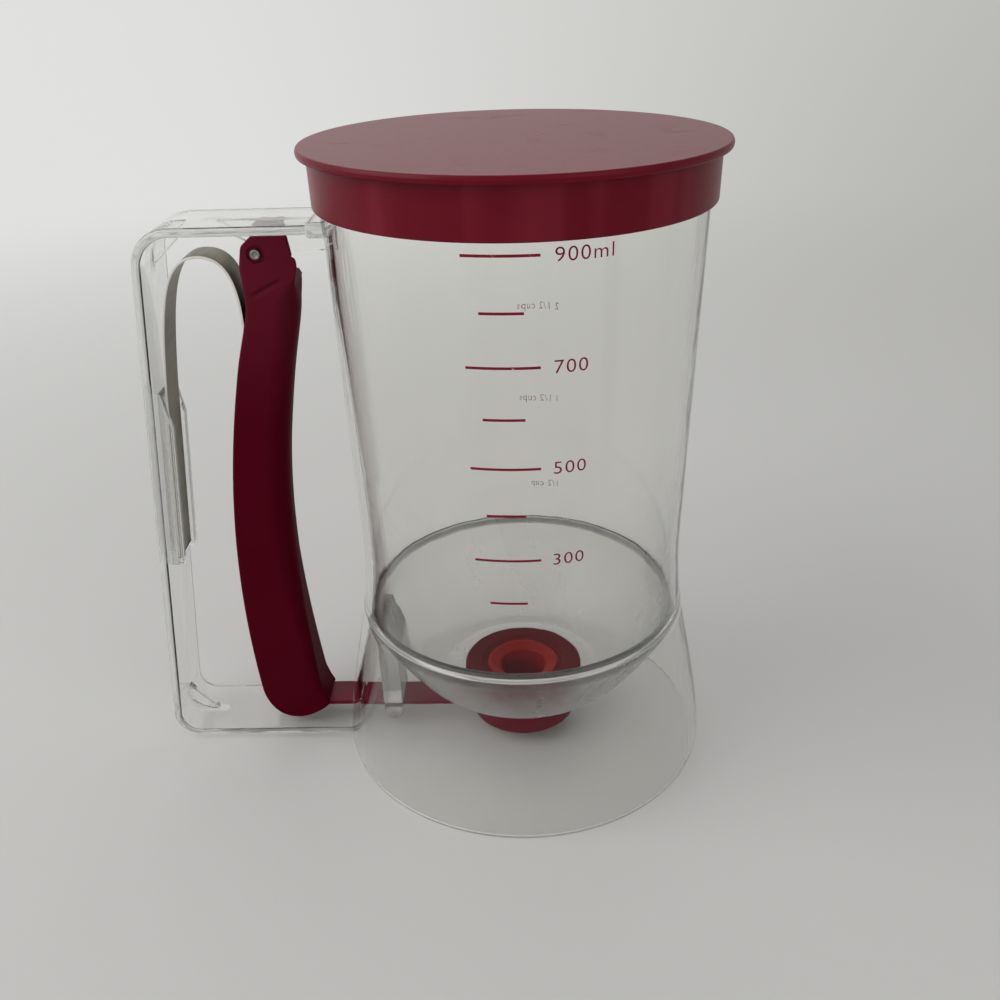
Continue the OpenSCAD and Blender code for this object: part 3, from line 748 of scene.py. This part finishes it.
def makeSeat():
    pocket = valve["sealR"] + jug["gap"]
    lip = valve["sealLip"] + jug["gap"]
    neck, flange = jug["neckR"], valve["flangeR"]
    soft, rimTop = valve["flangeRound"], flangeTop - valve["rimDown"]
    profile = filleted([
        (neck, valve["neckBottom"], 0.3), (neck, flangeZ), (flange, flangeZ, 0.2),
        (flange, flangeTop - soft, 0.5), (flange - soft, flangeTop, 0.5),
        (pocket + valve["rimOut"], flangeTop, 0.3), (pocket + valve["rimIn"], rimTop, 0.2),
        (pocket, rimTop, 0.25),
        (pocket, seatLedge), (lip, seatLedge), (lip, valve["neckBottom"])])
    finished(lathe("seatFlange", profile, 160), seatRed, "valve_seat")


def makeSeal():
    mouth = (valve["throatR"] + valve["sealR"]) / 2
    low = valve["barZ"] + valve["barT"] + jug["loose"] / 2
    top = flangeTop - 0.2
    step = seatLedge + jug["gap"]
    profile = filleted([
        (valve["throatR"], low, 0.3), (valve["sealLip"], low, 0.3), (valve["sealLip"], step),
        (valve["sealR"], step), (valve["sealR"], top, 0.6), (mouth + 1.2, top, 0.6),
        (valve["throatR"] + 0.8, top - 1.6, 0.6), (valve["throatR"] + 0.6, top - 2.6, 0.8),
        (valve["throatR"], top - 5, 0.8)])
    finished(lathe("sealRing", profile, 128), sealOrange, "seal_ring")


def makeHousing():
    bore = jug["neckR"] + jug["loose"] / 2
    outlet = valve["throatR"] + 2 * jug["loose"]
    top = jug["floorZ"] - jug["funnelWall"] - jug["gap"]
    neckSide = valve["sealLip"] + jug["loose"] / 2
    under = valve["neckBottom"] - jug["gap"]
    r, low = valve["housingR"], valve["housingBottom"]
    profile = filleted([
        (outlet, low, 0.3), (r - valve["chamfer"], low, 0.4), (r, low + valve["chamfer"], 0.6),
        (r, top, 0.5), (bore, top), (bore, under), (neckSide, under), (neckSide, channelHigh),
        (outlet, channelHigh)])
    piece = lathe("nozzleHousing", profile, 160)
    room = box(-60, valve["gateReach"] + jug["loose"], channelLow, channelHigh)
    cut(piece, room, valve["gateW"] / 2 + jug["loose"])
    finished(piece, housingRed, "nozzle_housing")


makeSeat()
makeSeal()
makeHousing()
slideBar = softEdges(cadCopy("slideBar", "slide_valve"), 0.25)
finished(slideBar, slideRed, "slide_valve", "slide")
print("valve made")


handle = {
    "bandW": 24.3, "bandT": 2.5, "edge": 0.95, "armTop": 168.3, "armBottom": 1.8,
    "postTop": 101.2, "postFoot": 115.0, "topR": 11.0, "footR": 8.5, "ribT": 2.4,
    "ribLeg": 11.0, "ribRound": 0.6, "sunk": 0.45,    # ribs are sunk by this share of bandT
    "padReach": 54.4, "padH": 4.2, "padRise": 0.8, "padRound": 1.2, "padEdge": 0.8,
    "padPast": 0.15,
    "rootX": -40.0, "padRootX": -37.0, "roomX": -30.0,    # ends inside the jug, trimmed off
    "roomDown": 12.0,
}
tongue = {"h": 6.6, "noseR": 4.0, "noseFrom": 150, "back": 10.8, "front": 3.4, "halfT": 1.5,
          "edge": 0.25, "boreR": 1.52, "room": 0.05}
pivot = (-69.2, 160.0)
postSlope = (handle["postFoot"] - handle["postTop"]) / (
    pivot[1] - handle["armBottom"] - handle["footR"])


def postX(z):
    return -handle["postTop"] - (pivot[1] - z) * postSlope


# the band's line in the handle's plane, inset from its outside, from top to foot
def bandLine(inset):
    side = inset / cos(atan(postSlope))
    high, low = handle["armTop"] - inset, handle["armBottom"] + inset
    top = (postX(high) + side, high, handle["topR"] - inset)
    foot = (postX(low) + side, low, handle["footR"] - inset)
    return filleted([(handle["rootX"], high), top, foot, (handle["rootX"], low)], 12)


# trims what is joined to the jug with the jug's outside
def trim(piece):
    side = skirtSide()[:0:-1] + barrelSide() + [(jug["rimR"], jug["rimZ"])]
    side = [(r + jug["gap"], z) for r, z in side]
    combine(piece, lathe("tool", [(0, -1), (side[0][0], -1)] + side + [(0, jug["rimZ"])]))


# a Geometry Nodes tree with named inputs, which paints the shape it makes
class GrowTree(Tree):
    def __init__(self, name, sizes, counts=()):
        super().__init__(bpy.data.node_groups.new(name, "GeometryNodeTree"))
        kinds = {"Geometry": "Geometry", "Material": "Material"}
        kinds.update({label: "Float" for label in sizes})
        kinds.update({label: "Int" for label in counts})
        sockets = self.tree.interface
        for label, kind in kinds.items():
            sockets.new_socket(label, in_out="INPUT", socket_type="NodeSocket" + kind)
        sockets.new_socket("Geometry", in_out="OUTPUT", socket_type="NodeSocketGeometry")
        self.given = self.node("NodeGroupInput")

    def painted(self, shape):
        paint = self.node("GeometryNodeSetMaterial",
                          {"Geometry": shape, "Material": self.given["Material"]})
        self.node("NodeGroupOutput", {"Geometry": paint})
        return self.tree


# puts a tree on a piece with these inputs and makes the result a plain mesh
def grown(piece, tree, values):
    modifier = piece.modifiers.new(tree.name, "NODES")
    modifier.node_group = tree
    for item in tree.interface.items_tree:
        if item.in_out == "INPUT" and item.name in values:
            modifier[item.identifier] = values[item.name]
    return applied(piece)


# a bar with rounded edges, swept along the curve it is put on
def sweepTree():
    t = GrowTree("sweptBar", ("Width", "Thickness", "Edge radius"))
    upright = t.node("GeometryNodeSetCurveNormal",
                     {"Curve": t.given["Geometry"], "Normal": (0, 1, 0)}, mode="FREE")
    section = t.node("GeometryNodeCurvePrimitiveQuadrilateral",
                     {"Width": t.given["Width"], "Height": t.given["Thickness"]})
    rounding = t.node("GeometryNodeFilletCurve",
                      {"Curve": section, "Radius": t.given["Edge radius"], "Count": 8},
                      mode="POLY")
    sweep = t.node("GeometryNodeCurveToMesh",
                   {"Curve": upright, "Profile Curve": rounding, "Fill Caps": True})
    return t.painted(t.node("GeometryNodeRealizeInstances", {0: sweep}))


sweptBar = sweepTree()


# a swept bar along a line in the XZ plane, in mm
def bar(name, line, width, thickness, edge, material):
    data = bpy.data.curves.new(name, "CURVE")
    data.dimensions = "3D"
    spline = data.splines.new("POLY")
    spline.points.add(len(line) - 1)
    for point, (x, z) in zip(spline.points, line):
        point.co = (x * mm, 0, z * mm, 1)
    piece = grown(newPiece(name, data), sweptBar, {
        "Width": width * mm, "Thickness": thickness * mm, "Edge radius": edge * mm,
        "Material": material})
    reworked(piece.data, 1e-6, lambda bm: bmesh.ops.recalc_face_normals(bm, faces=bm.faces))
    return piece


def makeHandle():
    h = handle
    band = bar("handleBand", bandLine(h["bandT"] / 2), h["bandW"], h["bandT"], h["edge"],
               handleClear)
    padTop = h["armTop"] + h["padRise"]
    pad = plate("padTool", filleted([
        (-h["padReach"], padTop, h["padRound"]), (h["padRootX"], padTop),
        (h["padRootX"], padTop - h["padH"]), (-h["padReach"], padTop - h["padH"], h["padRound"])
    ]), h["bandW"] / 2 + h["padPast"], h["padEdge"])
    combine(band, pad, "UNION")
    under = h["armTop"] - h["bandT"]
    floor = h["armBottom"] + h["bandT"]
    inTop = Vector((postX(under) + h["bandT"], under))
    inFoot = Vector((postX(floor) + h["bandT"], floor))
    up = (inTop - inFoot).normalized()
    deep = h["bandT"] * h["sunk"]
    leg = h["ribLeg"] + deep
    for corner, along, bend, rise in ((inTop, -up, h["topR"], deep),
                                      (inFoot, up, h["footR"], -deep)):
        sunk = corner + Vector((-deep, rise))
        outline = [(*sunk, bend - deep), tuple(sunk + along * leg),
                   tuple(sunk + Vector((leg, 0)))]
        rib = plate("ribTool", filleted(outline, 10), h["ribT"] / 2, h["ribRound"])
        combine(band, rib, "UNION")
    trim(band)
    room = box(-h["padReach"] - 1, h["roomX"], under, under - h["roomDown"])
    cut(band, room, tongue["halfT"] + tongue["room"])
    finished(band, handleClear, "handle_frame")


def makeTongue():
    t = tongue
    top = handle["armTop"] - handle["bandT"]
    under, low, r = top - jug["gap"], top - t["h"], t["noseR"]
    nose = (pivot[0] + r * cos(radians(t["noseFrom"])), pivot[1] + r / 2)
    outline = filleted([(handle["rootX"], under), (pivot[0] - t["back"], under), nose]
                       + arc(pivot, r, 165, 270, 14)
                       + [(pivot[0] + t["front"], low, 0.5), (handle["rootX"], low)])
    piece = plate("pivotTongue", outline, t["halfT"], t["edge"])
    trim(piece)
    combine(piece, pinAcross("boreTool", *pivot, box(0, t["boreR"], -5, 5)))
    finished(piece, handleClear, "pivot_tongue")


# the rails' upper ends slope back to the post
pocketSlope = {"topZ": 124, "fromPost": 2.6, "lowZ": 84, "clearZ": 94, "clear": 12,
               "soft": 0.3}


def makePocket():
    k = pocketSlope
    pocket = cadCopy("springPocket", "spring_pocket")
    far = postX(k["clearZ"]) + k["clear"]
    cut(pocket, [(postX(k["topZ"]) + k["fromPost"], k["topZ"]), (far, k["topZ"]),
                 (far, k["lowZ"])], 20)
    finished(softEdges(pocket, k["soft"]), railClear, "spring_pocket")


makeHandle()
makeTongue()
makePocket()
guide = softEdges(cadCopy("barGuide", "slide_guide"), 0.25)
finished(guide, guideClear, "slide_guide")
print("handle made")


# points are (x, z) from the pivot, in mm; pulls are curve handles as shares of the drop
trigger = {
    "halfWidth": 7.2, "wall": 1.4, "front": 1.6, "drop": 155.2, "low": 4.8, "headR": 4.8,
    "headFront": 9.0, "start": 3.0, "heelBack": 15.8, "heelRise": 11.0, "toe": 4.8,
    "toeRise": 0.2, "toeTuck": (0.6, 1.1), "instep": (1.2, 2.7), "shin": (1, 12.5),
    "backPull": ((0.0148, -0.0773), (-0.1579, -0.3582)), "headTurn": 0.42,
    "backOut": (0, -0.9, 12, 34), "backTop": 16,
    "frontPull": ((0.0934, -0.1695), (-0.0664, -0.2365)),
    "frontOut": (0.7, 0.8, 22, 50), "frontTop": 9,
    "neckDown": 2.6, "neck": ((-5.3, -6.5), (-3.9, -11.5)),
    "browTop": ((9.5, -0.4), (9.35, -1.1)), "brow": ((10.1, -1.6), (11.0, -3.2), (10.0, -6.4)),
    "solePull": (0.9, 0.22), "soleDown": 2.4, "crownBack": (-3.8, 2.1),
    "backEdge": 1.0, "frontEdge": 6.0, "toeEdge": 1.2, "crownEdge": 0.6, "browEdge": 0.3,
    "heelIn": 0.76, "toeSolid": 4.8, "stepUp": 2.4, "stepDown": 0.6,
    "mouthDown": 3.7, "wayBack": 7.9, "wayLow": -3,
    "slant": ((6.3, -5.4), (8.8, -5.4), (11.6, -11.0), (30, -11.0), (30, 12), (6.3, 12)),
    "slantFall": -0.32,    # mm down for each mm towards the far cheek
    "cheek": ((5.9, -4.5), (7.6, -9.5), (20, -9.5), (20, 20), (5.9, 20)),
    "cheekHalf": 1.7, "cheekY": 6.7,
    "recessR": 2.4, "recessDepth": 0.55, "boreR": 1.55,
}
barTop = valve["barZ"] + valve["barT"]


def fromPivot(x, z):
    return (pivot[0] + x, pivot[1] + z)


# a curve handle given as shares of the trigger's drop
def pulled(x, z):
    return fromPivot(x * trigger["drop"], z * trigger["drop"])


# a line moved along X by first, and by more from one depth under the pivot to another
def moved(line, first, more, high, low):
    return [(x + first + more * ramp(pivot[1] - z, high, low), z) for x, z in line]


def triggerFront():
    t = trigger
    first, second = t["frontPull"]
    line = bez(fromPivot(t["headFront"] - t["front"], -t["start"]), pulled(*first),
               pulled(*second), (pivot[0] + t["shin"][0], t["low"] + t["shin"][1]), 56)
    return moved(line, *t["frontOut"])


# the trigger's outline from the brow over the crown and down the back, with edge radii
def triggerOutline(front):
    t = trigger
    head = t["headR"]
    toe = (pivot[0] + t["toe"], barTop + t["toeRise"])
    instep = (toe[0] - t["instep"][0], toe[1] + t["instep"][1])
    first, second = t["backPull"]
    back = bez(fromPivot(-head, -t["headTurn"] * head), pulled(*first), pulled(*second),
               (pivot[0] - t["heelBack"], t["low"] + t["heelRise"]), 56)
    back = [p for p in moved(back, *t["backOut"]) if p[1] < pivot[1] - t["backTop"]]
    wall = [p for p in front if p[1] < pivot[1] - t["frontTop"]]
    neckTop = fromPivot(-head, -t["neckDown"])
    neck = bez(neckTop, *(fromPivot(*p) for p in t["neck"]), back[0], 10)
    browTop = [fromPivot(*p) for p in t["browTop"]]
    brow = browTop + bez(*(fromPivot(*p) for p in t["brow"]), wall[0], 8)
    soleZ = t["low"] - t["soleDown"]
    heelX, toeX = (pivot[0] - t["heelBack"] * share for share in t["solePull"])
    sole = bez(back[-1], (heelX, soleZ), (toeX, soleZ),
               (toe[0] - t["toeTuck"][0], toe[1] - t["toeTuck"][1]), 20)
    crown = filleted([browTop[0], (*fromPivot(t["headFront"] - 0.3, head), 0.7),
                      (*fromPivot(-0.7, head), 1.5), (*fromPivot(*t["crownBack"]), 2.6),
                      neckTop], 6)[1:-1]
    outline, radii = [], []
    for line, r in ((crown, t["crownEdge"]), (neck, t["backEdge"]), (back[1:], t["backEdge"]),
                    (sole[1:], t["backEdge"]), ([toe, instep], t["toeEdge"])):
        outline += line
        radii += [r] * len(line)
    for i, p in enumerate((brow + wall[1:])[::-1]):
        below = len(wall) - 1 - i    # points down from the brow
        grow = max(0, min(1, (below + 2) / 6))
        outline.append(p)
        radii.append(min(2.0 + 0.4 * i,
                         t["browEdge"] + (t["frontEdge"] - t["browEdge"]) * grow))
    return outline, radii


# the trigger is open at its back: its hollow's outline and edge radii
def triggerHollow(front, slotTop):
    t = trigger
    inner = beside(front, -t["front"])
    x, topZ = pivot[0] - t["front"], pivot[1] - t["start"]
    heelIn = (pivot[0] - t["heelBack"] * t["heelIn"], t["low"] + t["front"])
    hollow = [(inner[0][0], topZ)] + inner + [
        (x, slotTop + t["stepUp"]), (x, slotTop - t["stepDown"]),
        (pivot[0] - t["toeSolid"], heelIn[1]), heelIn,
        (heelIn[0] - 60, heelIn[1] + 18), (pivot[0] - 60, topZ)]    # well clear of the back
    bend, n = t["frontEdge"] - t["wall"], len(inner)
    radii = [bend * min(1, i / 10, max(0, n - i) / 6) for i in range(len(hollow))]
    return hollow, radii


def makeTrigger():
    t = trigger
    front = triggerFront()
    outline, radii = triggerOutline(front)
    body = plate("triggerLever", outline, t["halfWidth"], radii, 7)
    inside = t["halfWidth"] - t["wall"]
    slotTop = barTop + 3 * jug["loose"]
    hollow, radii = triggerHollow(front, slotTop)
    cut(body, hollow, inside, radii, 7)
    mouth = box(pivot[0] - 40, pivot[0] + 40, pivot[1] - t["mouthDown"], pivot[1] + 20)
    cut(body, mouth, inside)
    # the front wall's top slopes down forwards and towards the far cheek
    slant = plate("slantTool", [fromPivot(*p) for p in t["slant"]], inside)
    fall = Matrix.Identity(4)
    fall[2][1] = t["slantFall"]
    slant.data.transform(fall)
    combine(body, slant)
    # the far cheek stops short of the tongue's web
    cut(body, [fromPivot(*p) for p in t["cheek"]], t["cheekHalf"], y0=t["cheekY"])
    way = box(pivot[0] - t["wayBack"], pivot[0] + 40, t["wayLow"], slotTop)
    cut(body, way, inside)
    r, bore, deep, past = t["recessR"], t["boreR"], t["halfWidth"] - t["recessDepth"], 12
    combine(body, pinAcross("holeTool", *pivot, [
        (0, -past), (r, -past), (r, -deep), (bore, -deep), (bore, deep), (r, deep),
        (r, past), (0, past)]))
    finished(body, triggerRed, "trigger_lever", "trigger", 28)


pins = {"proud": 0.4, "linkAt": (-75.5, 12.9), "linkHalf": 6.4, "linkR": 1.25, "chamfer": 0.25}


# the pin's ends are riveted: a domed rim round a small dimple
def makePins():
    end = trigger["halfWidth"] + pins["proud"]
    rivet = [(0, end - 0.3), (0.5, end - 0.28), (0.8, end - 0.05), (1.05, end),
             (1.3, end - 0.12), (1.5, end - 0.45)]
    pin = pinAcross("pivotPin", *pivot, [(r, -y) for r, y in rivet] + rivet[::-1])
    finished(pin, pinSteel, "pivot_pin")
    half, r, slope = pins["linkHalf"], pins["linkR"], pins["chamfer"]
    link = pinAcross("linkPin", *pins["linkAt"], [
        (0, -half), (r - slope, -half), (r, slope - half), (r, half - slope),
        (r - slope, half), (0, half)])
    finished(link, pinSteel, "link_pin", "trigger")


# heights on the post, points from the pivot, and curve handles as shares of each stretch
spring = {
    "width": 11.0, "thick": 0.7, "edge": 0.2, "fromPost": 4.55, "foot": 67.0, "bend": 121.0,
    "apex": (-16.3, -0.9), "drop": (-6.3, -19.0), "tip": (-1.2, -48.0),
    "rise": (0.074, 0.632, 0.263), "over": (0.197, 0.003, 0.38),
    "down": (0.003, 0.31, 0.079, 0.345),
}


def makeSpring():
    foot, bend = ((postX(spring[k]) + spring["fromPost"], spring[k]) for k in ("foot", "bend"))
    apex, drop, tip = (fromPivot(*spring[k]) for k in ("apex", "drop", "tip"))
    rise, fall = apex[1] - bend[1], drop[1] - tip[1]
    line = [foot]
    out, up, back = spring["rise"]
    line += bez(bend, (bend[0] + out * rise, bend[1] + up * rise),
                (apex[0] - back * rise, apex[1]), apex, 40)
    out, back, up = spring["over"]
    line += bez(apex, (apex[0] + out * rise, apex[1]),
                (drop[0] - back * fall, drop[1] + up * fall), drop, 32)[1:]
    out, down, back, up = spring["down"]
    line += bez(drop, (drop[0] + out * fall, drop[1] - down * fall),
                (tip[0] - back * fall, tip[1] + up * fall), tip, 20)[1:]
    leaf = bar("leafSpring", line, spring["width"], spring["thick"], spring["edge"],
               springSteel)
    finished(leaf, springSteel, "leaf_spring", None)
    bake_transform(leaf, "jug", "trigger", start=(-0.097, 0, 0.15), end=(-0.076, 0, 0.15))


makeTrigger()
makePins()
makeSpring()
print("trigger made")


lid = {"r": 56.1, "t": 2.2, "skirtH": 12.8, "skirtT": 1.55, "draft": 0.3,
       "underIn": 0.2, "underRise": 0.1, "edgeH": 1.0, "topIn": 0.35}


def makeLid():
    under = jug["rimZ"] + jug["loose"] / 2
    top, bottom = under + lid["t"], under - lid["skirtH"]
    inR = jug["rimR"] + jug["loose"]
    outR = inR + lid["skirtT"]
    profile = filleted([
        (0, under), (inR, under, 0.4), (inR, bottom, 0.3),
        (outR - lid["draft"], bottom, 0.45), (outR, top - lid["t"], 0.5),
        (lid["r"] - lid["underIn"], top - lid["t"] + lid["underRise"], 0.5),
        (lid["r"], top - lid["edgeH"], 0.7), (lid["r"] - lid["topIn"], top, 0.6), (0, top)])
    finished(lathe("lidCap", profile), lidRed, "lid_cap", "lid")


makeLid()
print("lid made")


prints = {
    "lowest": 75.5, "spacing": 13.38, "lines": 8, "thick": 0.7, "lift": 0.05,
    "longFrom": -14.2, "longTo": 6.2, "shortFrom": -10.0, "shortTo": 1.9,
    "labelFrom": 9.9, "labelSize": 4.9, "labelWide": 1.11,
    "backFrom": -16.5, "backSize": 3.4, "cup": 236.6, "backWide": 0.9,
    "lowestMl": 200, "apart": 1.12,
    "thin": 0.004, "digitH": 0.7,    # shares of a letter's size
}
barrelSlope = (jug["rimR"] - jug["waistR"]) / (jug["rimZ"] - jug["waistZ"])


# short lines stacked up the barrel, every other one long, wrapped round its cone
def scaleTree():
    t = GrowTree("scaleLines", (
        "Lowest", "Spacing", "Line width", "Long centre", "Long angle", "Short centre",
        "Short angle", "Base radius", "Slope"), ["Lines"])
    index = t.node("GeometryNodeInputIndex")[0]
    odd = index.maths("MODULO", index, 2)

    def either(size):
        return odd * t.given["Long " + size] + (1 - odd) * t.given["Short " + size]

    height = t.given["Lowest"] + index * t.given["Spacing"]
    place = t.node("ShaderNodeCombineXYZ", {0: either("centre"), 2: height})
    points = t.node("GeometryNodePoints", {"Count": t.given["Lines"], "Position": place})
    grid = t.node("GeometryNodeMeshGrid",
                  {"Size X": 1, "Size Y": 1, "Vertices X": 33, "Vertices Y": 2})
    stood = t.node("GeometryNodeTransform", {"Geometry": grid, "Rotation": (pi / 2, 0, 0)})
    size = t.node("ShaderNodeCombineXYZ", {0: either("angle"), 1: 1, 2: t.given["Line width"]})
    stack = t.node("GeometryNodeInstanceOnPoints",
                   {"Points": points, "Instance": stood, "Scale": size})
    real = t.node("GeometryNodeRealizeInstances", {0: stack})
    position = t.node("GeometryNodeInputPosition")
    parts = t.node("ShaderNodeSeparateXYZ", {0: position})
    angle, z = parts[0], parts[2]
    radius = t.given["Base radius"] + z * t.given["Slope"]
    across, ahead = (radius * angle.maths(kind, angle) for kind in ("SINE", "COSINE"))
    wrapped = t.node("ShaderNodeCombineXYZ", {0: across, 1: ahead * -1, 2: z})
    return t.painted(t.node("GeometryNodeSetPosition", {"Geometry": real, "Position": wrapped}))


scaleLines = scaleTree()


def printLines(name):
    p = prints
    mids = [radians((p[k + "From"] + p[k + "To"]) / 2) for k in ("long", "short")]
    spans = [radians(p[k + "To"] - p[k + "From"]) for k in ("long", "short")]
    baseR = jug["waistR"] - jug["waistZ"] * barrelSlope + p["lift"]
    piece = newPiece(name, bpy.data.meshes.new(name))
    grown(piece, scaleLines, {
        "Lines": p["lines"], "Lowest": p["lowest"] * mm, "Spacing": p["spacing"] * mm,
        "Line width": p["thick"] * mm, "Long centre": mids[0], "Long angle": spans[0],
        "Short centre": mids[1], "Short angle": spans[1],
        "Base radius": baseR * mm, "Slope": barrelSlope, "Material": scaleInk})
    finished(piece, scaleInk)


# lettering as a mesh, wrapped round the barrel from startAngle on
def printLabel(name, words, size, facing, startAngle, middleZ, ink, wide):
    data = bpy.data.curves.new(name, "FONT")
    data.body = words
    data.size = size * mm
    data.offset = -prints["thin"] * mm * size
    data.resolution_u = 4
    data.space_character = prints["apart"]
    piece = applied(newPiece(name, data))

    def wrap(bm):
        left = min(v.co.x for v in bm.verts)
        for v in bm.verts:
            z = middleZ * mm + v.co.y - prints["digitH"] * size * mm / 2
            r = (jug["waistR"] + prints["lift"]) * mm + (z - jug["waistZ"] * mm) * barrelSlope
            w = radians(facing + startAngle) + (v.co.x - left) * wide / r
            v.co = (r * sin(w), -r * cos(w), z)

    reworked(piece.data, 1e-7, wrap)
    finished(piece, ink)


def markZ(ml):
    return prints["lowest"] + (ml - prints["lowestMl"]) * prints["spacing"] / 100


def makePrints():
    p = prints
    printLines("scaleLines")
    for words, ml in (("900ml", 900), ("700", 700), ("500", 500), ("300", 300)):
        printLabel("label" + words, words, p["labelSize"], 0, p["labelFrom"], markZ(ml),
                   scaleInk, p["labelWide"])
    for cups, words in ((0.5, "1/2 cup"), (1.5, "1 1/2 cups"), (2.5, "2 1/2 cups")):
        printLabel("cups" + str(int(cups)), words, p["backSize"], 180, p["backFrom"],
                   markZ(cups * p["cup"]), faintInk, p["backWide"])


makePrints()
print("scale printed")


stage = {
    "floor": (0.60, 0.595, 0.58),
    "background": (0.75, 0.75, 0.735),
    "shadedSide": (0.44, 0.437, 0.42),    # the background's colour towards +X
    "fill": 0.48,
    "near": 0.22, "far": 1.0,    # m from the jug, where the lit floor fades into the background
    "halfSize": 9, "bounces": 48, "clearBounces": 24,
}
# place and height aimed at in m, sides in m, power in W
lamps = {
    "keyLight": ((-0.9, -0.3, 0.85), 0.1, (1.0, 1.0), 8.0),
    "fillLight": ((0.7, -0.8, 0.6), 0.08, (0.8, 0.8), 1.4),
    "backLight": ((0.0, 0.9, 0.8), 0.08, (1.0, 0.5), 1.6),
}


# the background's colour for a direction from the jug
def backdropColour(graph, outward):
    sideways = graph.node("ShaderNodeSeparateXYZ", {0: outward})[0]
    return graph.mix(sideways.step(-0.45, 0.75), stage["background"], stage["shadedSide"])


# 1 where the camera, a reflection or a view through glass sees it, 0 for other light
def seenDirectly(graph):
    rays = graph.node("ShaderNodeLightPath")
    seen = rays["Is Camera Ray"].top(rays["Is Glossy Ray"])
    return seen.top(rays["Is Transmission Ray"])


def makeFloor():
    bm = bmesh.new()
    bmesh.ops.create_grid(bm, x_segments=1, y_segments=1, size=stage["halfSize"])
    floor = built("floor", bm)
    g = Graph("floorPaper")
    cloud = g.noise(6, 3)
    dim = tuple(c * 0.97 for c in stage["floor"])
    paper = g.principled({"Base Color": g.mix(cloud * 0.3, stage["floor"], dim),
                          "Roughness": 0.55, "Specular IOR Level": 0.2})
    length = g.node("ShaderNodeVectorMath", {0: g.place}, operation="LENGTH")
    away = length["Value"].step(stage["near"], stage["far"])
    outward = g.node("ShaderNodeVectorMath", {0: g.place}, operation="NORMALIZE")
    glow = g.node("ShaderNodeEmission", {"Color": backdropColour(g, outward), "Strength": 1})
    g.surface(g.mixShaders(away * seenDirectly(g), paper, glow))
    floor.data.materials.append(g.material)


def makeWorld():
    world = bpy.data.worlds.new("studio")
    scene.world = world
    g = Graph("", world)
    fill = g.node("ShaderNodeBackground", {"Color": (1, 1, 1), "Strength": stage["fill"]})
    outward = g.node("ShaderNodeTexCoord")["Generated"]
    pale = g.node("ShaderNodeBackground", {"Color": backdropColour(g, outward), "Strength": 1.0})
    g.surface(g.mixShaders(seenDirectly(g), fill, pale))


def lamp(name, place, aimZ, size, power):
    data = bpy.data.lights.new(name, "AREA")
    data.shape = "RECTANGLE"
    data.size, data.size_y = size
    data.energy = power
    light = bpy.data.objects.new(name, data)
    scene.collection.objects.link(light)
    light.location = place
    aim = Vector((0, 0, aimZ)) - Vector(place)
    light.rotation_euler = aim.to_track_quat("-Z", "Y").to_euler()
    light.visible_transmission = False


makeFloor()
makeWorld()
for lampName, settings in lamps.items():
    lamp(lampName, *settings)
scene.view_settings.view_transform = "Standard"
scene.cycles.max_bounces = stage["bounces"]
scene.cycles.transmission_bounces = stage["bounces"]
scene.cycles.transparent_max_bounces = stage["clearBounces"]
print("light set")
